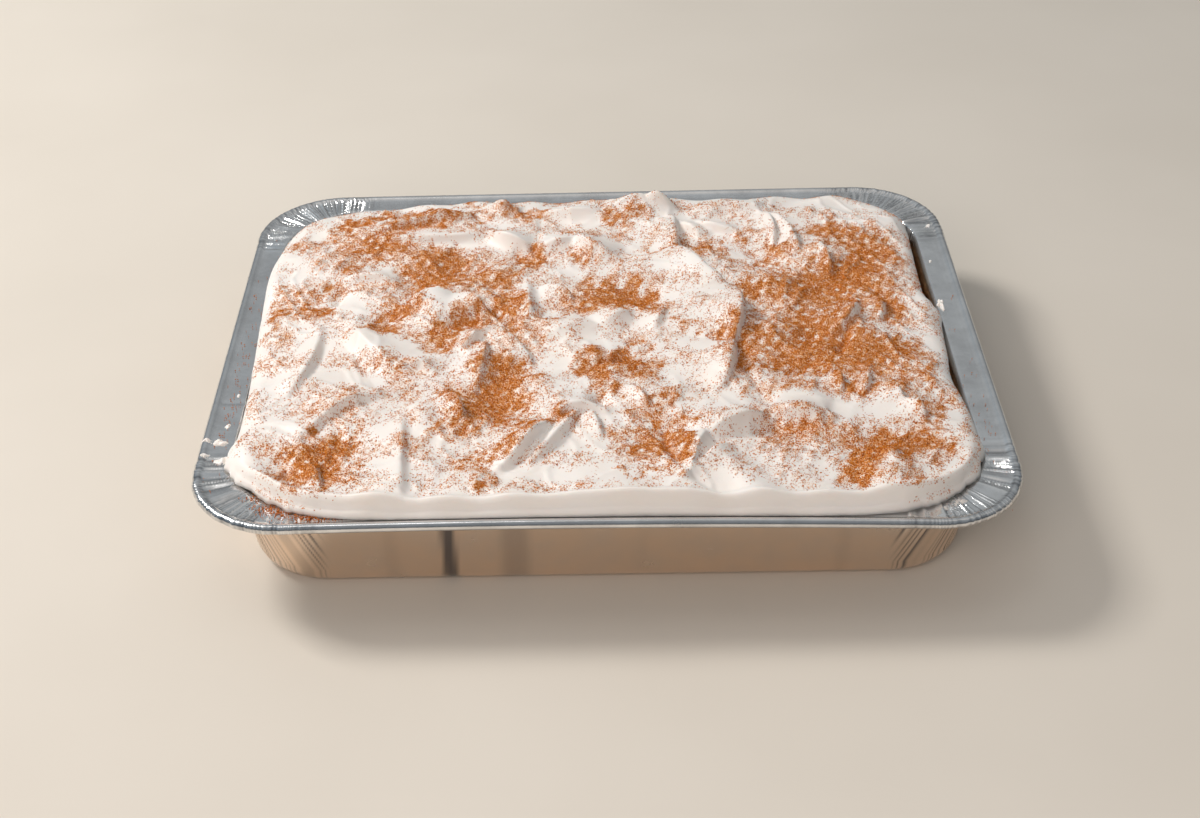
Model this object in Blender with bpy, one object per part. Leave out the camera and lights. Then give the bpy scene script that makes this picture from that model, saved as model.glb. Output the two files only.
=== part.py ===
"""Tray cake under whipped cream, in the foil pan that it is sold in.

Lengths are millimetres and become metres when a mesh is made. The origin is the middle of the
pan's underside, +X runs along the pan, +Y from its front to its back, and +Z is up.
"""
import math
import random
from typing import NamedTuple

import bpy
import numpy as np

MM = 0.001
GAP = 0.3
SEED = 11

# Foil pan, over the curled rim
PAN_LENGTH = 324.0
PAN_WIDTH = 264.0
PAN_HEIGHT = 43.0
RIM_RADIUS = 38.9
BEAD = 4.0
FLANGE = 13.5
FLANGE_DROP = 1.3
OPENING_RADIUS = 37.5
FOIL = 0.7
WALL_DRAFT = 5.4
FLOOR_FILLET = 8.9
LEAST_RADIUS = 3.0
CORNER_STEPS = 20
SIDE_STEPS = 8
SHARP_ANGLE = 50.0

# Handling marks of the foil
RIM_TWIST = 1.3
FRONT_BOW = 3.0
PLEAT = 0.55
BEAD_RIB = 0.35
CORNER_WRINKLE = 0.6

# Sponge and cream
SPONGE_TOP = 37.0
SPONGE_CLEARANCE = 0.5
SPONGE_EDGE = 1.2
SPONGE_STEPS = (8, 2)
CREAM_LEVEL = 7.0
CREAM_CREST = 0.5
CREAM_ROLL = 7.0
EDGE_RUN = 40.0
RELIEF_START = 1.5
RELIEF_RUN = 9.0
FRONT_LIP = 4.0
LIP_RISE = 1.2
LIP_WIDTH = 1.8
LIP_BAND = 0.42
BROW_WAVE = 0.8
BROW_PITCH = 34.0
CREAM_LIFT = 0.5
UNDERCUT = 0.1
CREAM_COLUMNS = 150
CREAM_ROWS = 122
RING_POWER = 1.25
CREAM_TRIANGLES = 8200

# How strokes meet and end, and the lesser folds between them
STROKE_BLEND = 3.0
STROKE_END_RUN = 4.0
STROKE_END_SHARE = 0.45
FOLD_HEIGHT = 1.8
FOLD_PITCH = 30.0
FOLD_WIDTH = 0.28
FOLD_WARP = 7.0
WARP_PITCH = 46.0
ROLLING_HEIGHT = 0.8
ROLLING_PITCH = 38.0


class Edge(NamedTuple):
    """The cream's edge at one bearing: how far it passes the opening, and how high its brow is."""

    bearing: float
    reach: float
    brow: float


class Ridge(NamedTuple):
    """A crest from one point to another, soft on its right side and steep on its left."""

    x0: float
    y0: float
    x1: float
    y1: float
    bow: float
    rise: float
    soft: float
    steep: float


class Crease(NamedTuple):
    """A narrow fold between two points."""

    x0: float
    y0: float
    x1: float
    y1: float
    bow: float
    depth: float
    width: float


class Swell(NamedTuple):
    """A rounded mound, or a scooped hollow where its rise is negative."""

    x: float
    y: float
    along: float
    across: float
    heading: float
    rise: float


EDGES = (
    Edge(0, -1, 4), Edge(4, 0, 4), Edge(6, 2, 5), Edge(9, -5, 4), Edge(24, -4, 4.5), Edge(39, -2, 5),
    Edge(50, -1, 5.5), Edge(90, 0, 5), Edge(118, -1, 5), Edge(130, -3, 2.5), Edge(141, -3, 3),
    Edge(150, -1, 4), Edge(159, 4, 4), Edge(170, 3, 4), Edge(185, 1, 4), Edge(202, -1, 5.5),
    Edge(209, 0, 5.5), Edge(212, 5, 5), Edge(216, 1, 6.5), Edge(220, 1.5, 7), Edge(223, 3.2, 7),
    Edge(226, 6.5, 7), Edge(230, 9, 7), Edge(237, 9.8, 6.5), Edge(247, 9.8, 5.5),
    Edge(266, 9.8, 8), Edge(280, 9.8, 7.5), Edge(292, 9.8, 6), Edge(298, 9.8, 8), Edge(303, 9.8, 7),
    Edge(310, 9, 7), Edge(314, 6.5, 7.5), Edge(318, 3.5, 7.5), Edge(324, 2, 6.5), Edge(330, 0.3, 5.5),
    Edge(337, 0, 5), Edge(346, -4, 4), Edge(352, -2, 4),
)

# Strokes of the spoon, from the back of the pan to its front
RIDGES = (
    Ridge(34, 88, 34, 60, -1, 7, 10, 3),
    Ridge(33, 61, 57, 20, -4, 10, 13, 3),
    Ridge(56, 24, 53, -17, 3, 10.5, 16, 3),
    Ridge(54, -14, 47, -50, 1, 7, 11, 3),
    Ridge(34, 100, 22, 103, 0, 6, 5, 5),
    Ridge(22, 103, 3, 97, -1, 4, 6, 6),
    Ridge(2, 97, -29, 98, 2, 6, 8, 8),
    Ridge(78, 98, 44, 97, -3, 6, 8, 9),
    Ridge(62, 76, 44, 86, 1, 4.5, 5, 3),
    Ridge(48, 72, 37, 85, 0, 4.5, 6, 4),
    Ridge(75, 94, 78, 62, 2, 6, 3.5, 2.5),
    Ridge(78, 93, 89, 56, 2, 6, 4, 3),
    Ridge(98, 61, 102, 41, 0, 6, 2.5, 2.5),
    Ridge(-61, 94, -107, 82, -2, 6, 5, 6),
    Ridge(-49, 77, -106, 75, 3, 4.5, 6, 5),
    Ridge(-92, 35, -114, 38, -2, 5, 6, 5),
    Ridge(6, 52, -12, 71, 2, 7, 9, 8),
    Ridge(-11, 71, -31, 65, 3, 6, 9, 8),
    Ridge(-30, 65, -50, 77, 3, 7, 9, 7),
    Ridge(-58, 27, -81, 31, 0, 4, 3, 3),
    Ridge(-84, 12, -64, 19, 2, 7, 14, 4),
    Ridge(-65, 19, -46, 0, 0, 7, 14, 4),
    Ridge(-48, -7, -60, -20, -2, 6, 5, 3),
    Ridge(-49, -5, -31, -31, 2, 5, 7, 3),
    Ridge(-51, -14, -54, -49, 1, 4.5, 5, 3),
    Ridge(-71, -37, -85, -33, -3, 4.5, 6, 4),
    Ridge(-34, 32, -32, 0, -1, 5, 4, 8),
    Ridge(-29, 28, -14, 14, 4, 5, 9, 3),
    Ridge(11, 6, -3, -4, 0, 6, 8, 10),
    Ridge(-2, -4, -24, -11, -3, 4.5, 8, 10),
    Ridge(-11, -45, 8, -30, 0, 4.5, 8, 3),
    Ridge(27, 9, 21, -7, -1, 4.5, 5, 4),
    Ridge(-84, -34, -106, 5, 5, 6, 16, 10),
    Ridge(-122, -3, -129, -54, 2, 4.5, 7, 5),
    Ridge(-92, -53, -120, -80, -4, 5, 13, 4),
    Ridge(-82, -68, -79, -120, -1, 3.5, 8, 5),
    Ridge(-67, -53, -58, -70, 1, 6, 5, 2.5),
    Ridge(-1, -67, -22, -74, -6, 6, 7, 3.5),
    Ridge(-21, -73, -42, -104, 0, 7, 7, 3.5),
    Ridge(-10, -62, -30, -99, 1, 4.5, 4, 3),
    Ridge(-7, -67, -3, -84, 0, 4, 4, 2.5),
    Ridge(8, -50, 16, -63, 1, 4, 3, 2.5),
    Ridge(88, -74, 65, -68, 0, 7, 9, 7),
    Ridge(66, -68, 37, -86, 0, 7.5, 10, 8),
    Ridge(38, -84, 29, -113, -1, 7.5, 9, 8),
    Ridge(30, -112, 47, -93, 0, 4.5, 7, 3),
    Ridge(111, 16, 97, -9, 2, 5, 6, 4),
    Ridge(122, 17, 119, 3, 0, 4.5, 6, 3),
    Ridge(95, -42, 95, -54, 0, 4.5, 2.5, 2.5),
    Ridge(108, -40, 104, -56, 0, 4.5, 2.5, 2.5),
    Ridge(111, -50, 119, -64, 1, 4, 4, 3),
    Ridge(120, -63, 126, -75, 1, 4.5, 4, 3),
    Ridge(-114, -99, -110, -117, 0, 4, 3, 3),
)
CREASES = (
    Crease(55, -15, 66, -62, -2, 3.5, 2.5),
    Crease(22, -76, 29, -112, -1, 5, 2.5),
    Crease(103, 40, 128, 8, 5, 3.5, 4),
    Crease(104, -6, 97, -28, 1, 4, 3),
    Crease(-127, -92, -120, -114, 0, 3.5, 4),
    Crease(-115, 33, -117, 18, 0, 4, 3),
    Crease(33, 84, 33, 66, 0, 2, 3),
    Crease(-40, 62, -36, 50, 0, 2, 3),
)
SWELLS = (
    Swell(22, 100, 13, 8, 0, 6),
    Swell(-46, 102, 6, 7, 0, 6.5),
    Swell(-45, 43, 8, 6, 20, 3.5),
    Swell(-68, 8, 16, 12, 10, 2.5),
    Swell(-74, -68, 6, 9, 10, 3.5),
    Swell(-48, -8, 4, 4, 0, 2.5),
    Swell(109, -100, 4, 6, 0, 3),
    Swell(109, -114, 7, 7, 0, 3),
    Swell(128, 84, 14, 10, -40, 2),
    Swell(-142, -96, 8, 12, 0, 3),
    Swell(42, -98, 8, 12, 40, 2),
    Swell(-65, 48, 16, 7, 15, -3.5),
    Swell(-58, 1, 12, 5, 20, -4),
    Swell(-43, -58, 12, 14, 0, -3),
    Swell(-40, -40, 8, 7, 0, -2.5),
    Swell(12, 22, 13, 8, 15, -3),
    Swell(2, -33, 11, 4, 40, -3.5),
    Swell(-3, -59, 4, 3.5, 0, -4.5),
    Swell(93, 12, 14, 12, 0, -2.5),
    Swell(88, -12, 11, 6, 10, -3),
    Swell(86, -35, 13, 7, 0, -2.5),
    Swell(104, -87, 12, 8, 20, -3.5),
    Swell(96, -113, 4, 8, 0, -2.5),
    Swell(-108, -99, 9, 15, -10, -4),
    Swell(-92, 8, 8, 8, 0, -2),
    Swell(70, -88, 13, 12, 0, -2),
    Swell(14, -86, 8, 6, 0, -1.5),
    Swell(66, 55, 12, 14, 0, -1.5),
)


def smooth(value):
    """Return an eased 0 to 1 step of value."""
    t = np.clip(value, 0.0, 1.0)
    return t * t * (3.0 - 2.0 * t)


def ripple(x, y, wavelength, seed, waves=7):
    """Return an even, seamless unevenness of about unit height."""
    draw = random.Random(seed)
    total = np.zeros(np.shape(x))
    for _ in range(waves):
        heading = draw.uniform(0.0, math.tau)
        pitch = math.tau / (wavelength * draw.uniform(0.7, 1.4))
        total += np.sin(pitch * (x * math.cos(heading) + y * math.sin(heading)) + draw.uniform(0.0, math.tau))
    return total * math.sqrt(2.0 / waves)


def rim_lift(x, y):
    """Return how far the handled rim stands above its nominal level."""
    across = np.clip(x / (PAN_LENGTH / 2), -1.0, 1.0)
    deep = y / (PAN_WIDTH / 2)
    return RIM_TWIST * across * deep + FRONT_BOW * (1.0 - across ** 2) * smooth(-2.0 * deep - 0.9)


def rounded_outline(half_x, half_y, radius, corner_steps=CORNER_STEPS, side_steps=SIDE_STEPS):
    """Return a rounded rectangle's points and each point's place through its corner, or -1 on a side."""
    points = []
    places = []
    corners = ((1, -1, -90), (1, 1, 0), (-1, 1, 90), (-1, -1, 180))
    for index, (sign_x, sign_y, start) in enumerate(corners):
        centre_x = sign_x * (half_x - radius)
        centre_y = sign_y * (half_y - radius)
        for step in range(corner_steps + 1):
            place = step / corner_steps
            angle = math.radians(start + 90.0 * place)
            points.append((centre_x + radius * math.cos(angle), centre_y + radius * math.sin(angle)))
            places.append(place)
        following = corners[(index + 1) % 4]
        end_angle = math.radians(following[2])
        end_x = following[0] * (half_x - radius) + radius * math.cos(end_angle)
        end_y = following[1] * (half_y - radius) + radius * math.sin(end_angle)
        from_x, from_y = points[-1]
        for step in range(1, side_steps):
            share = step / side_steps
            points.append((from_x + (end_x - from_x) * share, from_y + (end_y - from_y) * share))
            places.append(-1.0)
    return np.array(points), np.array(places)


def principled(name, colour, roughness, metallic):
    """Return a material with one Principled BSDF."""
    material = bpy.data.materials.new(name)
    material.use_nodes = True
    shader = material.node_tree.nodes["Principled BSDF"]
    shader.inputs["Base Color"].default_value = (*colour, 1.0)
    shader.inputs["Roughness"].default_value = roughness
    shader.inputs["Metallic"].default_value = metallic
    material.diffuse_color = (*colour, 1.0)
    return material


def add_object(name, vertices, faces, material, collection):
    """Return a smooth object of millimetre vertices, its faces turned outwards."""
    mesh = bpy.data.meshes.new(name)
    mesh.from_pydata([tuple(v * MM for v in vertex) for vertex in vertices], [], faces)
    mesh.validate()
    mesh.materials.append(material)
    mesh.shade_smooth()
    mesh.set_sharp_from_angle(angle=math.radians(SHARP_ANGLE))
    obj = bpy.data.objects.new(name, mesh)
    collection.objects.link(obj)
    return obj


def loft(rings):
    """Return the closed solid through rings of equal length, the first and last capped."""
    count = len(rings[0])
    vertices = [tuple(point) for ring in rings for point in ring]
    faces = [tuple(reversed(range(count)))]
    for level in range(len(rings) - 1):
        low = level * count
        for step in range(count):
            after = (step + 1) % count
            faces.append((low + step, low + after, low + count + after, low + count + step))
    top = (len(rings) - 1) * count
    faces.append(tuple(top + step for step in range(count)))
    return vertices, faces


def pan_ring(inset, level, opening_share, pleat=0.0, rib=0.0, wrinkle=0.0, lift=1.0):
    """Return one closed ring of the pan.

    opening_share blends the corner from the rim's radius to the opening's. pleat raises every
    other corner point, rib and wrinkle push every other one outwards, and lift is the share of
    the rim's handling marks.
    """
    concentric = RIM_RADIUS - inset
    radius = concentric + (OPENING_RADIUS - RIM_RADIUS + FLANGE) * opening_share
    points, places = rounded_outline(PAN_LENGTH / 2 - inset, PAN_WIDTH / 2 - inset, max(radius, LEAST_RADIUS))
    ring = []
    for index, ((x, y), place) in enumerate(zip(points, places)):
        swing = 0.0
        if place >= 0.0:
            swing = (1.0 if index % 2 else -1.0) * math.sin(math.pi * place) ** 0.5
        push = swing * (rib + wrinkle)
        reach = math.hypot(x, y)
        ring.append((
            x + push * x / reach,
            y + push * y / reach,
            level + swing * pleat + lift * float(rim_lift(x, y)),
        ))
    return ring


def pan_rings():
    """Return the pan's rings, from the middle of its underside over the rim to its floor."""
    rim = PAN_HEIGHT
    flange = rim - FLANGE_DROP
    bead_radius = BEAD / 2
    rings = []

    def wall(inner):
        side = []
        thickness = FOIL if inner else 0.0
        for step in range(4):
            angle = math.radians(30.0 * step)
            inset = FLANGE + WALL_DRAFT + FLOOR_FILLET * (1.0 - math.sin(angle)) + thickness
            level = FLOOR_FILLET * (1.0 - math.cos(angle)) + thickness
            side.append(pan_ring(inset, level, 1.0, wrinkle=0.2 * CORNER_WRINKLE * step / 3, lift=0.0))
        middle = flange * 0.6
        side.append(pan_ring(FLANGE + WALL_DRAFT * 0.4 + thickness, middle, 1.0, wrinkle=CORNER_WRINKLE, lift=0.4))
        return side

    rings.extend(wall(False))
    rings.append(pan_ring(FLANGE, flange - FOIL - 0.8, 1.0, wrinkle=CORNER_WRINKLE / 2))
    rings.append(pan_ring(FLANGE - 0.8, flange - FOIL, 1.0, pleat=PLEAT / 2))
    rings.append(pan_ring(FLANGE * 0.6, flange - FOIL, 0.7, pleat=PLEAT))
    rings.append(pan_ring(BEAD, flange - FOIL, 0.1, pleat=PLEAT / 2))
    for degrees in (215, 270, 325, 0, 45, 90, 135):
        angle = math.radians(degrees)
        inset = bead_radius - bead_radius * math.cos(angle)
        level = rim - bead_radius + bead_radius * math.sin(angle)
        rings.append(pan_ring(inset, level, 0.0, rib=BEAD_RIB))
    rings.append(pan_ring(BEAD, flange, 0.1, pleat=PLEAT / 2))
    rings.append(pan_ring(FLANGE * 0.6, flange, 0.7, pleat=PLEAT))
    rings.append(pan_ring(FLANGE - 0.1, flange, 1.0, pleat=PLEAT / 2))
    rings.append(pan_ring(FLANGE + FOIL, flange - 0.8, 1.0, wrinkle=CORNER_WRINKLE / 2))
    rings.extend(reversed(wall(True)))
    return rings


def pan_inside(level):
    """Return the half sizes and corner radius of the pan's inside at a level."""
    share = np.clip((PAN_HEIGHT - FLANGE_DROP - level) / (PAN_HEIGHT - FLANGE_DROP), 0.0, 1.0)
    inset = FLANGE + FOIL + WALL_DRAFT * share
    return PAN_LENGTH / 2 - inset, PAN_WIDTH / 2 - inset, OPENING_RADIUS - WALL_DRAFT * share


def sponge_rings():
    """Return the rings of the cake, which fills the pan up to the cream."""
    rings = []
    clearance = SPONGE_CLEARANCE + CORNER_WRINKLE
    for step in range(4):
        angle = math.radians(30.0 * step)
        half_x, half_y, radius = pan_inside(0.0)
        inset = FLOOR_FILLET * (1.0 - math.sin(angle)) + clearance
        level = FLOOR_FILLET * (1.0 - math.cos(angle)) + FOIL + GAP
        points, _ = rounded_outline(half_x - inset, half_y - inset, radius - inset, *SPONGE_STEPS)
        rings.append([(x, y, level) for x, y in points])
    half_x, half_y, radius = pan_inside(SPONGE_TOP)
    for inset, level in ((clearance, SPONGE_TOP - SPONGE_EDGE), (clearance + SPONGE_EDGE, SPONGE_TOP)):
        points, _ = rounded_outline(half_x - inset, half_y - inset, radius - inset, *SPONGE_STEPS)
        rings.append([(x, y, level) for x, y in points])
    return rings


def edge_values(bearing):
    """Return the cream's reach past the opening and its brow height at bearings in degrees."""
    angles = [edge.bearing for edge in EDGES]
    reach = np.zeros(np.shape(bearing))
    brow = np.zeros(np.shape(bearing))
    offsets = (-2.0, 0.0, 2.0)
    for offset in offsets:
        reach += np.interp(bearing + offset, angles, [edge.reach for edge in EDGES], period=360.0)
        brow += np.interp(bearing + offset, angles, [edge.brow for edge in EDGES], period=360.0)
    return reach / len(offsets), brow / len(offsets)


def opening_point(across, deep):
    """Return the point of the opening's outline, and its outward normal, for a point on a square's rim."""
    half_x = PAN_LENGTH / 2 - FLANGE - FOIL
    half_y = PAN_WIDTH / 2 - FLANGE - FOIL
    radius = OPENING_RADIUS
    on_side = np.abs(across) >= np.abs(deep)
    place = np.where(on_side, deep, across)
    run = np.where(on_side, half_y, half_x) - radius
    arc = radius * math.pi / 4
    travelled = np.abs(place) * (run + arc)
    turn = np.clip((travelled - run) / radius, 0.0, None)
    along = np.sign(place) * (np.minimum(travelled, run) + radius * np.sin(turn))
    out = np.where(on_side, half_x, half_y) - radius * (1.0 - np.cos(turn))
    normal_along = np.sign(place) * np.sin(turn)
    normal_out = np.cos(turn)
    side_sign = np.where(on_side, np.sign(across), np.sign(deep))
    x = np.where(on_side, side_sign * out, along)
    y = np.where(on_side, along, side_sign * out)
    normal_x = np.where(on_side, side_sign * normal_out, normal_along)
    normal_y = np.where(on_side, normal_along, side_sign * normal_out)
    return x, y, normal_x, normal_y


def path_distance(stroke, x, y, steps=10):
    """Return distance to a stroke, how far along it, and the side: 1 square to its left, -1 to its right."""
    span_x = stroke.x1 - stroke.x0
    span_y = stroke.y1 - stroke.y0
    length = math.hypot(span_x, span_y)
    share = np.linspace(0.0, 1.0, steps + 1)
    sag = stroke.bow * 4.0 * share * (1.0 - share)
    path_x = stroke.x0 + span_x * share - span_y / length * sag
    path_y = stroke.y0 + span_y * share + span_x / length * sag
    nearest = np.full(np.shape(x), np.inf)
    along = np.zeros(np.shape(x))
    side = np.zeros(np.shape(x))
    for step in range(steps):
        run_x = path_x[step + 1] - path_x[step]
        run_y = path_y[step + 1] - path_y[step]
        from_x = x - path_x[step]
        from_y = y - path_y[step]
        here = np.clip((from_x * run_x + from_y * run_y) / (run_x ** 2 + run_y ** 2), 0.0, 1.0)
        distance = np.hypot(from_x - here * run_x, from_y - here * run_y)
        closer = distance < nearest
        nearest = np.where(closer, distance, nearest)
        along = np.where(closer, (step + here) / steps, along)
        square_off = (run_x * from_y - run_y * from_x) / math.hypot(run_x, run_y)
        side = np.where(closer, square_off / np.maximum(distance, 1e-6), side)
    return nearest, along, side


def stroke_relief(x, y):
    """Return the height that the spoon's strokes, folds and scoops add to the cream."""
    folded = np.zeros(np.shape(x))
    for ridge in RIDGES:
        distance, along, side = path_distance(ridge, x, y)
        crest = np.sqrt(distance ** 2 + CREAM_CREST ** 2) - CREAM_CREST
        right_side = np.exp(-crest / ridge.soft)
        left_side = 1.0 - smooth(distance / ridge.steep)
        taper = np.sin(math.pi * np.clip(along, 0.0, 1.0)) ** 0.5
        ends = np.exp(-distance / STROKE_END_RUN) * STROKE_END_SHARE
        flank = right_side + (left_side - right_side) * smooth(0.5 + 0.5 * side)
        height = ridge.rise * flank * np.maximum(taper, ends)
        folded += np.maximum(height, 0.0) ** STROKE_BLEND
    relief = folded ** (1.0 / STROKE_BLEND)
    for crease in CREASES:
        distance, along, _ = path_distance(crease, x, y)
        relief -= crease.depth * np.exp(-distance / crease.width) * np.sin(math.pi * along) ** 0.5
    for swell in SWELLS:
        heading = math.radians(swell.heading)
        along = ((x - swell.x) * math.cos(heading) + (y - swell.y) * math.sin(heading)) / swell.along
        across = ((y - swell.y) * math.cos(heading) - (x - swell.x) * math.sin(heading)) / swell.across
        relief += swell.rise * np.exp(-(along ** 2 + across ** 2))
    return relief


def small_folds(x, y):
    """Return the lesser folds between the main strokes, as sharp crests on a warped wave."""
    warp_x = x + FOLD_WARP * ripple(x, y, WARP_PITCH, SEED)
    warp_y = y + FOLD_WARP * ripple(x, y, WARP_PITCH, SEED + 1)
    wave = ripple(warp_x, warp_y, FOLD_PITCH, SEED + 2)
    crests = np.exp(-np.abs(wave) / FOLD_WIDTH)
    return FOLD_HEIGHT * crests + ROLLING_HEIGHT * ripple(x, y, ROLLING_PITCH, SEED + 3)


def evened(heights):
    """Return a grid of heights with each point drawn towards its neighbours."""
    for _ in range(2):
        padded = np.pad(heights, ((1, 1), (0, 0)), mode="edge")
        heights = (0.25 * padded[:-2] + 0.5 * padded[1:-1] + 0.25 * padded[2:]).T
    return heights


def quarter_round(share):
    """Return the height of a quarter circle, from 0 at its foot to 1 at its top."""
    return np.sqrt(1.0 - (1.0 - np.clip(share, 0.0, 1.0)) ** 2)


def edge_roll(inward, front):
    """Return how far the cream has risen from its foot: one round, or two steps where front is 1."""
    share = inward / (CREAM_ROLL + (FRONT_LIP - CREAM_ROLL) * front)
    plain = quarter_round(share)
    stepped = LIP_BAND * quarter_round(share / 0.5) + (1.0 - LIP_BAND) * quarter_round((share - 0.4) / 0.6)
    return plain + (stepped - plain) * front


def cream_surface(columns, rows):
    """Return the cream's upper surface as a grid of points, rim level being the pan's height."""
    across, deep = np.meshgrid(np.linspace(-1.0, 1.0, columns + 1), np.linspace(-1.0, 1.0, rows + 1))
    square = np.maximum(np.abs(across), np.abs(deep))
    middle = square < 1e-6
    shrink = np.where(middle, 1.0, square)
    edge_x, edge_y, normal_x, normal_y = opening_point(np.where(middle, 1.0, across / shrink), deep / shrink)
    bearing = np.degrees(np.arctan2(edge_y, edge_x)) % 360.0
    reach, brow = edge_values(bearing)
    edge_x = edge_x + normal_x * reach
    edge_y = edge_y + normal_y * reach
    ring = 1.0 - (1.0 - square) ** RING_POWER
    x = edge_x * ring
    y = edge_y * ring
    inward = (1.0 - ring) * (edge_x * normal_x + edge_y * normal_y)
    inner = smooth((inward - RELIEF_START) / RELIEF_RUN)
    relief = evened(stroke_relief(x, y) + small_folds(x, y))
    brow = brow + BROW_WAVE * ripple(edge_x, edge_y, BROW_PITCH, SEED + 4)
    level = brow + (CREAM_LEVEL - brow) * smooth(inward / EDGE_RUN) + relief * inner
    foot = CREAM_LIFT + PLEAT * np.abs(2.0 * normal_x * normal_y) - FLANGE_DROP
    front = smooth(-2.0 * normal_y - 0.6)
    level = level + LIP_RISE * front * np.exp(-((inward - FRONT_LIP) / LIP_WIDTH) ** 2)
    roll = edge_roll(inward, front)
    z = PAN_HEIGHT + foot + (level - foot) * roll + rim_lift(x, y) * (1.0 - smooth(inward / EDGE_RUN))
    return np.stack([x, y, z], axis=-1)


def grid_border(columns, rows):
    """Return the border's grid places, counter-clockwise."""
    border = [(0, column) for column in range(columns)]
    border += [(row, columns) for row in range(rows)]
    border += [(rows, column) for column in range(columns, 0, -1)]
    border += [(row, 0) for row in range(rows, 0, -1)]
    return border


def cream_solid():
    """Return the cream as a closed solid: its upper surface, its side and its flat underside."""
    grid = cream_surface(CREAM_COLUMNS, CREAM_ROWS)
    vertices = [tuple(point) for point in grid.reshape(-1, 3)]
    width = CREAM_COLUMNS + 1
    faces = []
    for row in range(CREAM_ROWS):
        for column in range(CREAM_COLUMNS):
            corner = row * width + column
            faces.append((corner, corner + 1, corner + width + 1, corner + width))
    border = grid_border(CREAM_COLUMNS, CREAM_ROWS)
    upper = [row * width + column for row, column in border]
    half_x, half_y, radius = pan_inside(SPONGE_TOP)
    clearance = GAP + CORNER_WRINKLE
    for neck, level in ((0.0, -UNDERCUT), (1.0, None)):
        lower = []
        for row, column in border:
            x, y, z = grid[row, column]
            inset = clearance + (PAN_LENGTH / 2 - FLANGE - FOIL - half_x) * neck
            drop_x, drop_y = pull_inside(x, y, inset)
            lower.append(len(vertices))
            vertices.append((drop_x, drop_y, z + level if level is not None else SPONGE_TOP + GAP))
        count = len(border)
        for step in range(count):
            after = (step + 1) % count
            faces.append((lower[step], lower[after], upper[after], upper[step]))
        upper = lower
    faces.append(tuple(reversed(upper)))
    return vertices, faces


def pull_inside(x, y, inset):
    """Return a point moved towards the middle until it is clear of the pan's inner wall."""
    half_x = PAN_LENGTH / 2 - FLANGE - FOIL - inset
    half_y = PAN_WIDTH / 2 - FLANGE - FOIL - inset
    radius = OPENING_RADIUS - inset
    from_x = max(abs(x) - (half_x - radius), 0.0)
    from_y = max(abs(y) - (half_y - radius), 0.0)
    reach = math.hypot(from_x, from_y)
    if reach > radius:
        from_x *= radius / reach
        from_y *= radius / reach
    inner_x = min(abs(x), half_x - radius) + from_x
    inner_y = min(abs(y), half_y - radius) + from_y
    return math.copysign(inner_x, x), math.copysign(inner_y, y)


def build_pan(collection):
    """Make the foil pan, a thin shell with a curled rim."""
    foil = principled("foil", (0.78, 0.79, 0.80), 0.28, 1.0)
    vertices, faces = loft(pan_rings())
    return add_object("foil_pan", vertices, faces, foil, collection)


def build_sponge(collection):
    """Make the soaked sponge that fills the pan below the cream."""
    sponge = principled("sponge", (0.72, 0.50, 0.26), 0.7, 0.0)
    vertices, faces = loft(sponge_rings())
    return add_object("sponge_cake", vertices, faces, sponge, collection)


def build_cream(collection):
    """Make the whipped cream, its spooned ridges kept while its flat parts are thinned out."""
    cream = principled("cream", (0.91, 0.87, 0.81), 0.5, 0.0)
    vertices, faces = cream_solid()
    obj = add_object("whipped_cream", vertices, faces, cream, collection)
    full = 2 * CREAM_COLUMNS * CREAM_ROWS + 5 * 2 * (CREAM_COLUMNS + CREAM_ROWS)
    thin = obj.modifiers.new("thin", "DECIMATE")
    thin.ratio = CREAM_TRIANGLES / full
    return obj


def main():
    """Clear the scene and build the cake in its pan."""
    for obj in list(bpy.data.objects):
        bpy.data.objects.remove(obj, do_unlink=True)
    collection = bpy.data.collections.new("cream_tray_cake")
    bpy.context.scene.collection.children.link(collection)
    build_pan(collection)
    build_sponge(collection)
    build_cream(collection)


main()
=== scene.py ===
"""Tray cake under whipped cream, dusted with cinnamon, in its foil pan.

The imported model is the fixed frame, in metres: its origin is the middle of the pan's underside, +X
runs along the pan and +Y from its front to its back. Sizes in the classes are millimetres, and MM
turns them into metres where a mesh is made.
"""

import logging
import math
import random
from dataclasses import dataclass, field
from enum import Enum

import bpy
import numpy as np
from mathutils import Matrix, Vector


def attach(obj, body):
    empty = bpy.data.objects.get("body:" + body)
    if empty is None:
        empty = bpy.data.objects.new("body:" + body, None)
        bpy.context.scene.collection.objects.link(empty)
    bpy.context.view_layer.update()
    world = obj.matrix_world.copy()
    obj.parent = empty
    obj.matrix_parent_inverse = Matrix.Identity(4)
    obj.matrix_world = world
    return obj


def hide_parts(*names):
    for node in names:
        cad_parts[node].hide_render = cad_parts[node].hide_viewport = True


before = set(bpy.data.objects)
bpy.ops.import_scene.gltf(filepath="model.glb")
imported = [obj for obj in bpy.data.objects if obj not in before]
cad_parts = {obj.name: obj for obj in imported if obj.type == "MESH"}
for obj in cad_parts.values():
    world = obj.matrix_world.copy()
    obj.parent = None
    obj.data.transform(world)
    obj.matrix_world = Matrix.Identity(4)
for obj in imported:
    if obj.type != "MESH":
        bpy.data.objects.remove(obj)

MM = 0.001
BODY = "root"
SEED = 11

Colour = tuple[float, float, float]
Array = np.ndarray

log = logging.getLogger("tray_cake")


@dataclass(frozen=True)
class Edge:
    """The cream's edge at one bearing: how far it passes the opening, and how high its brow is."""

    bearing: float
    reach: float
    brow: float


@dataclass(frozen=True)
class Ridge:
    """A crest from one point to another, soft on its right side and steep on its left."""

    x0: float
    y0: float
    x1: float
    y1: float
    bow: float
    rise: float
    soft: float
    steep: float


@dataclass(frozen=True)
class Crease:
    """A narrow fold between two points."""

    x0: float
    y0: float
    x1: float
    y1: float
    bow: float
    depth: float
    width: float


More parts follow.
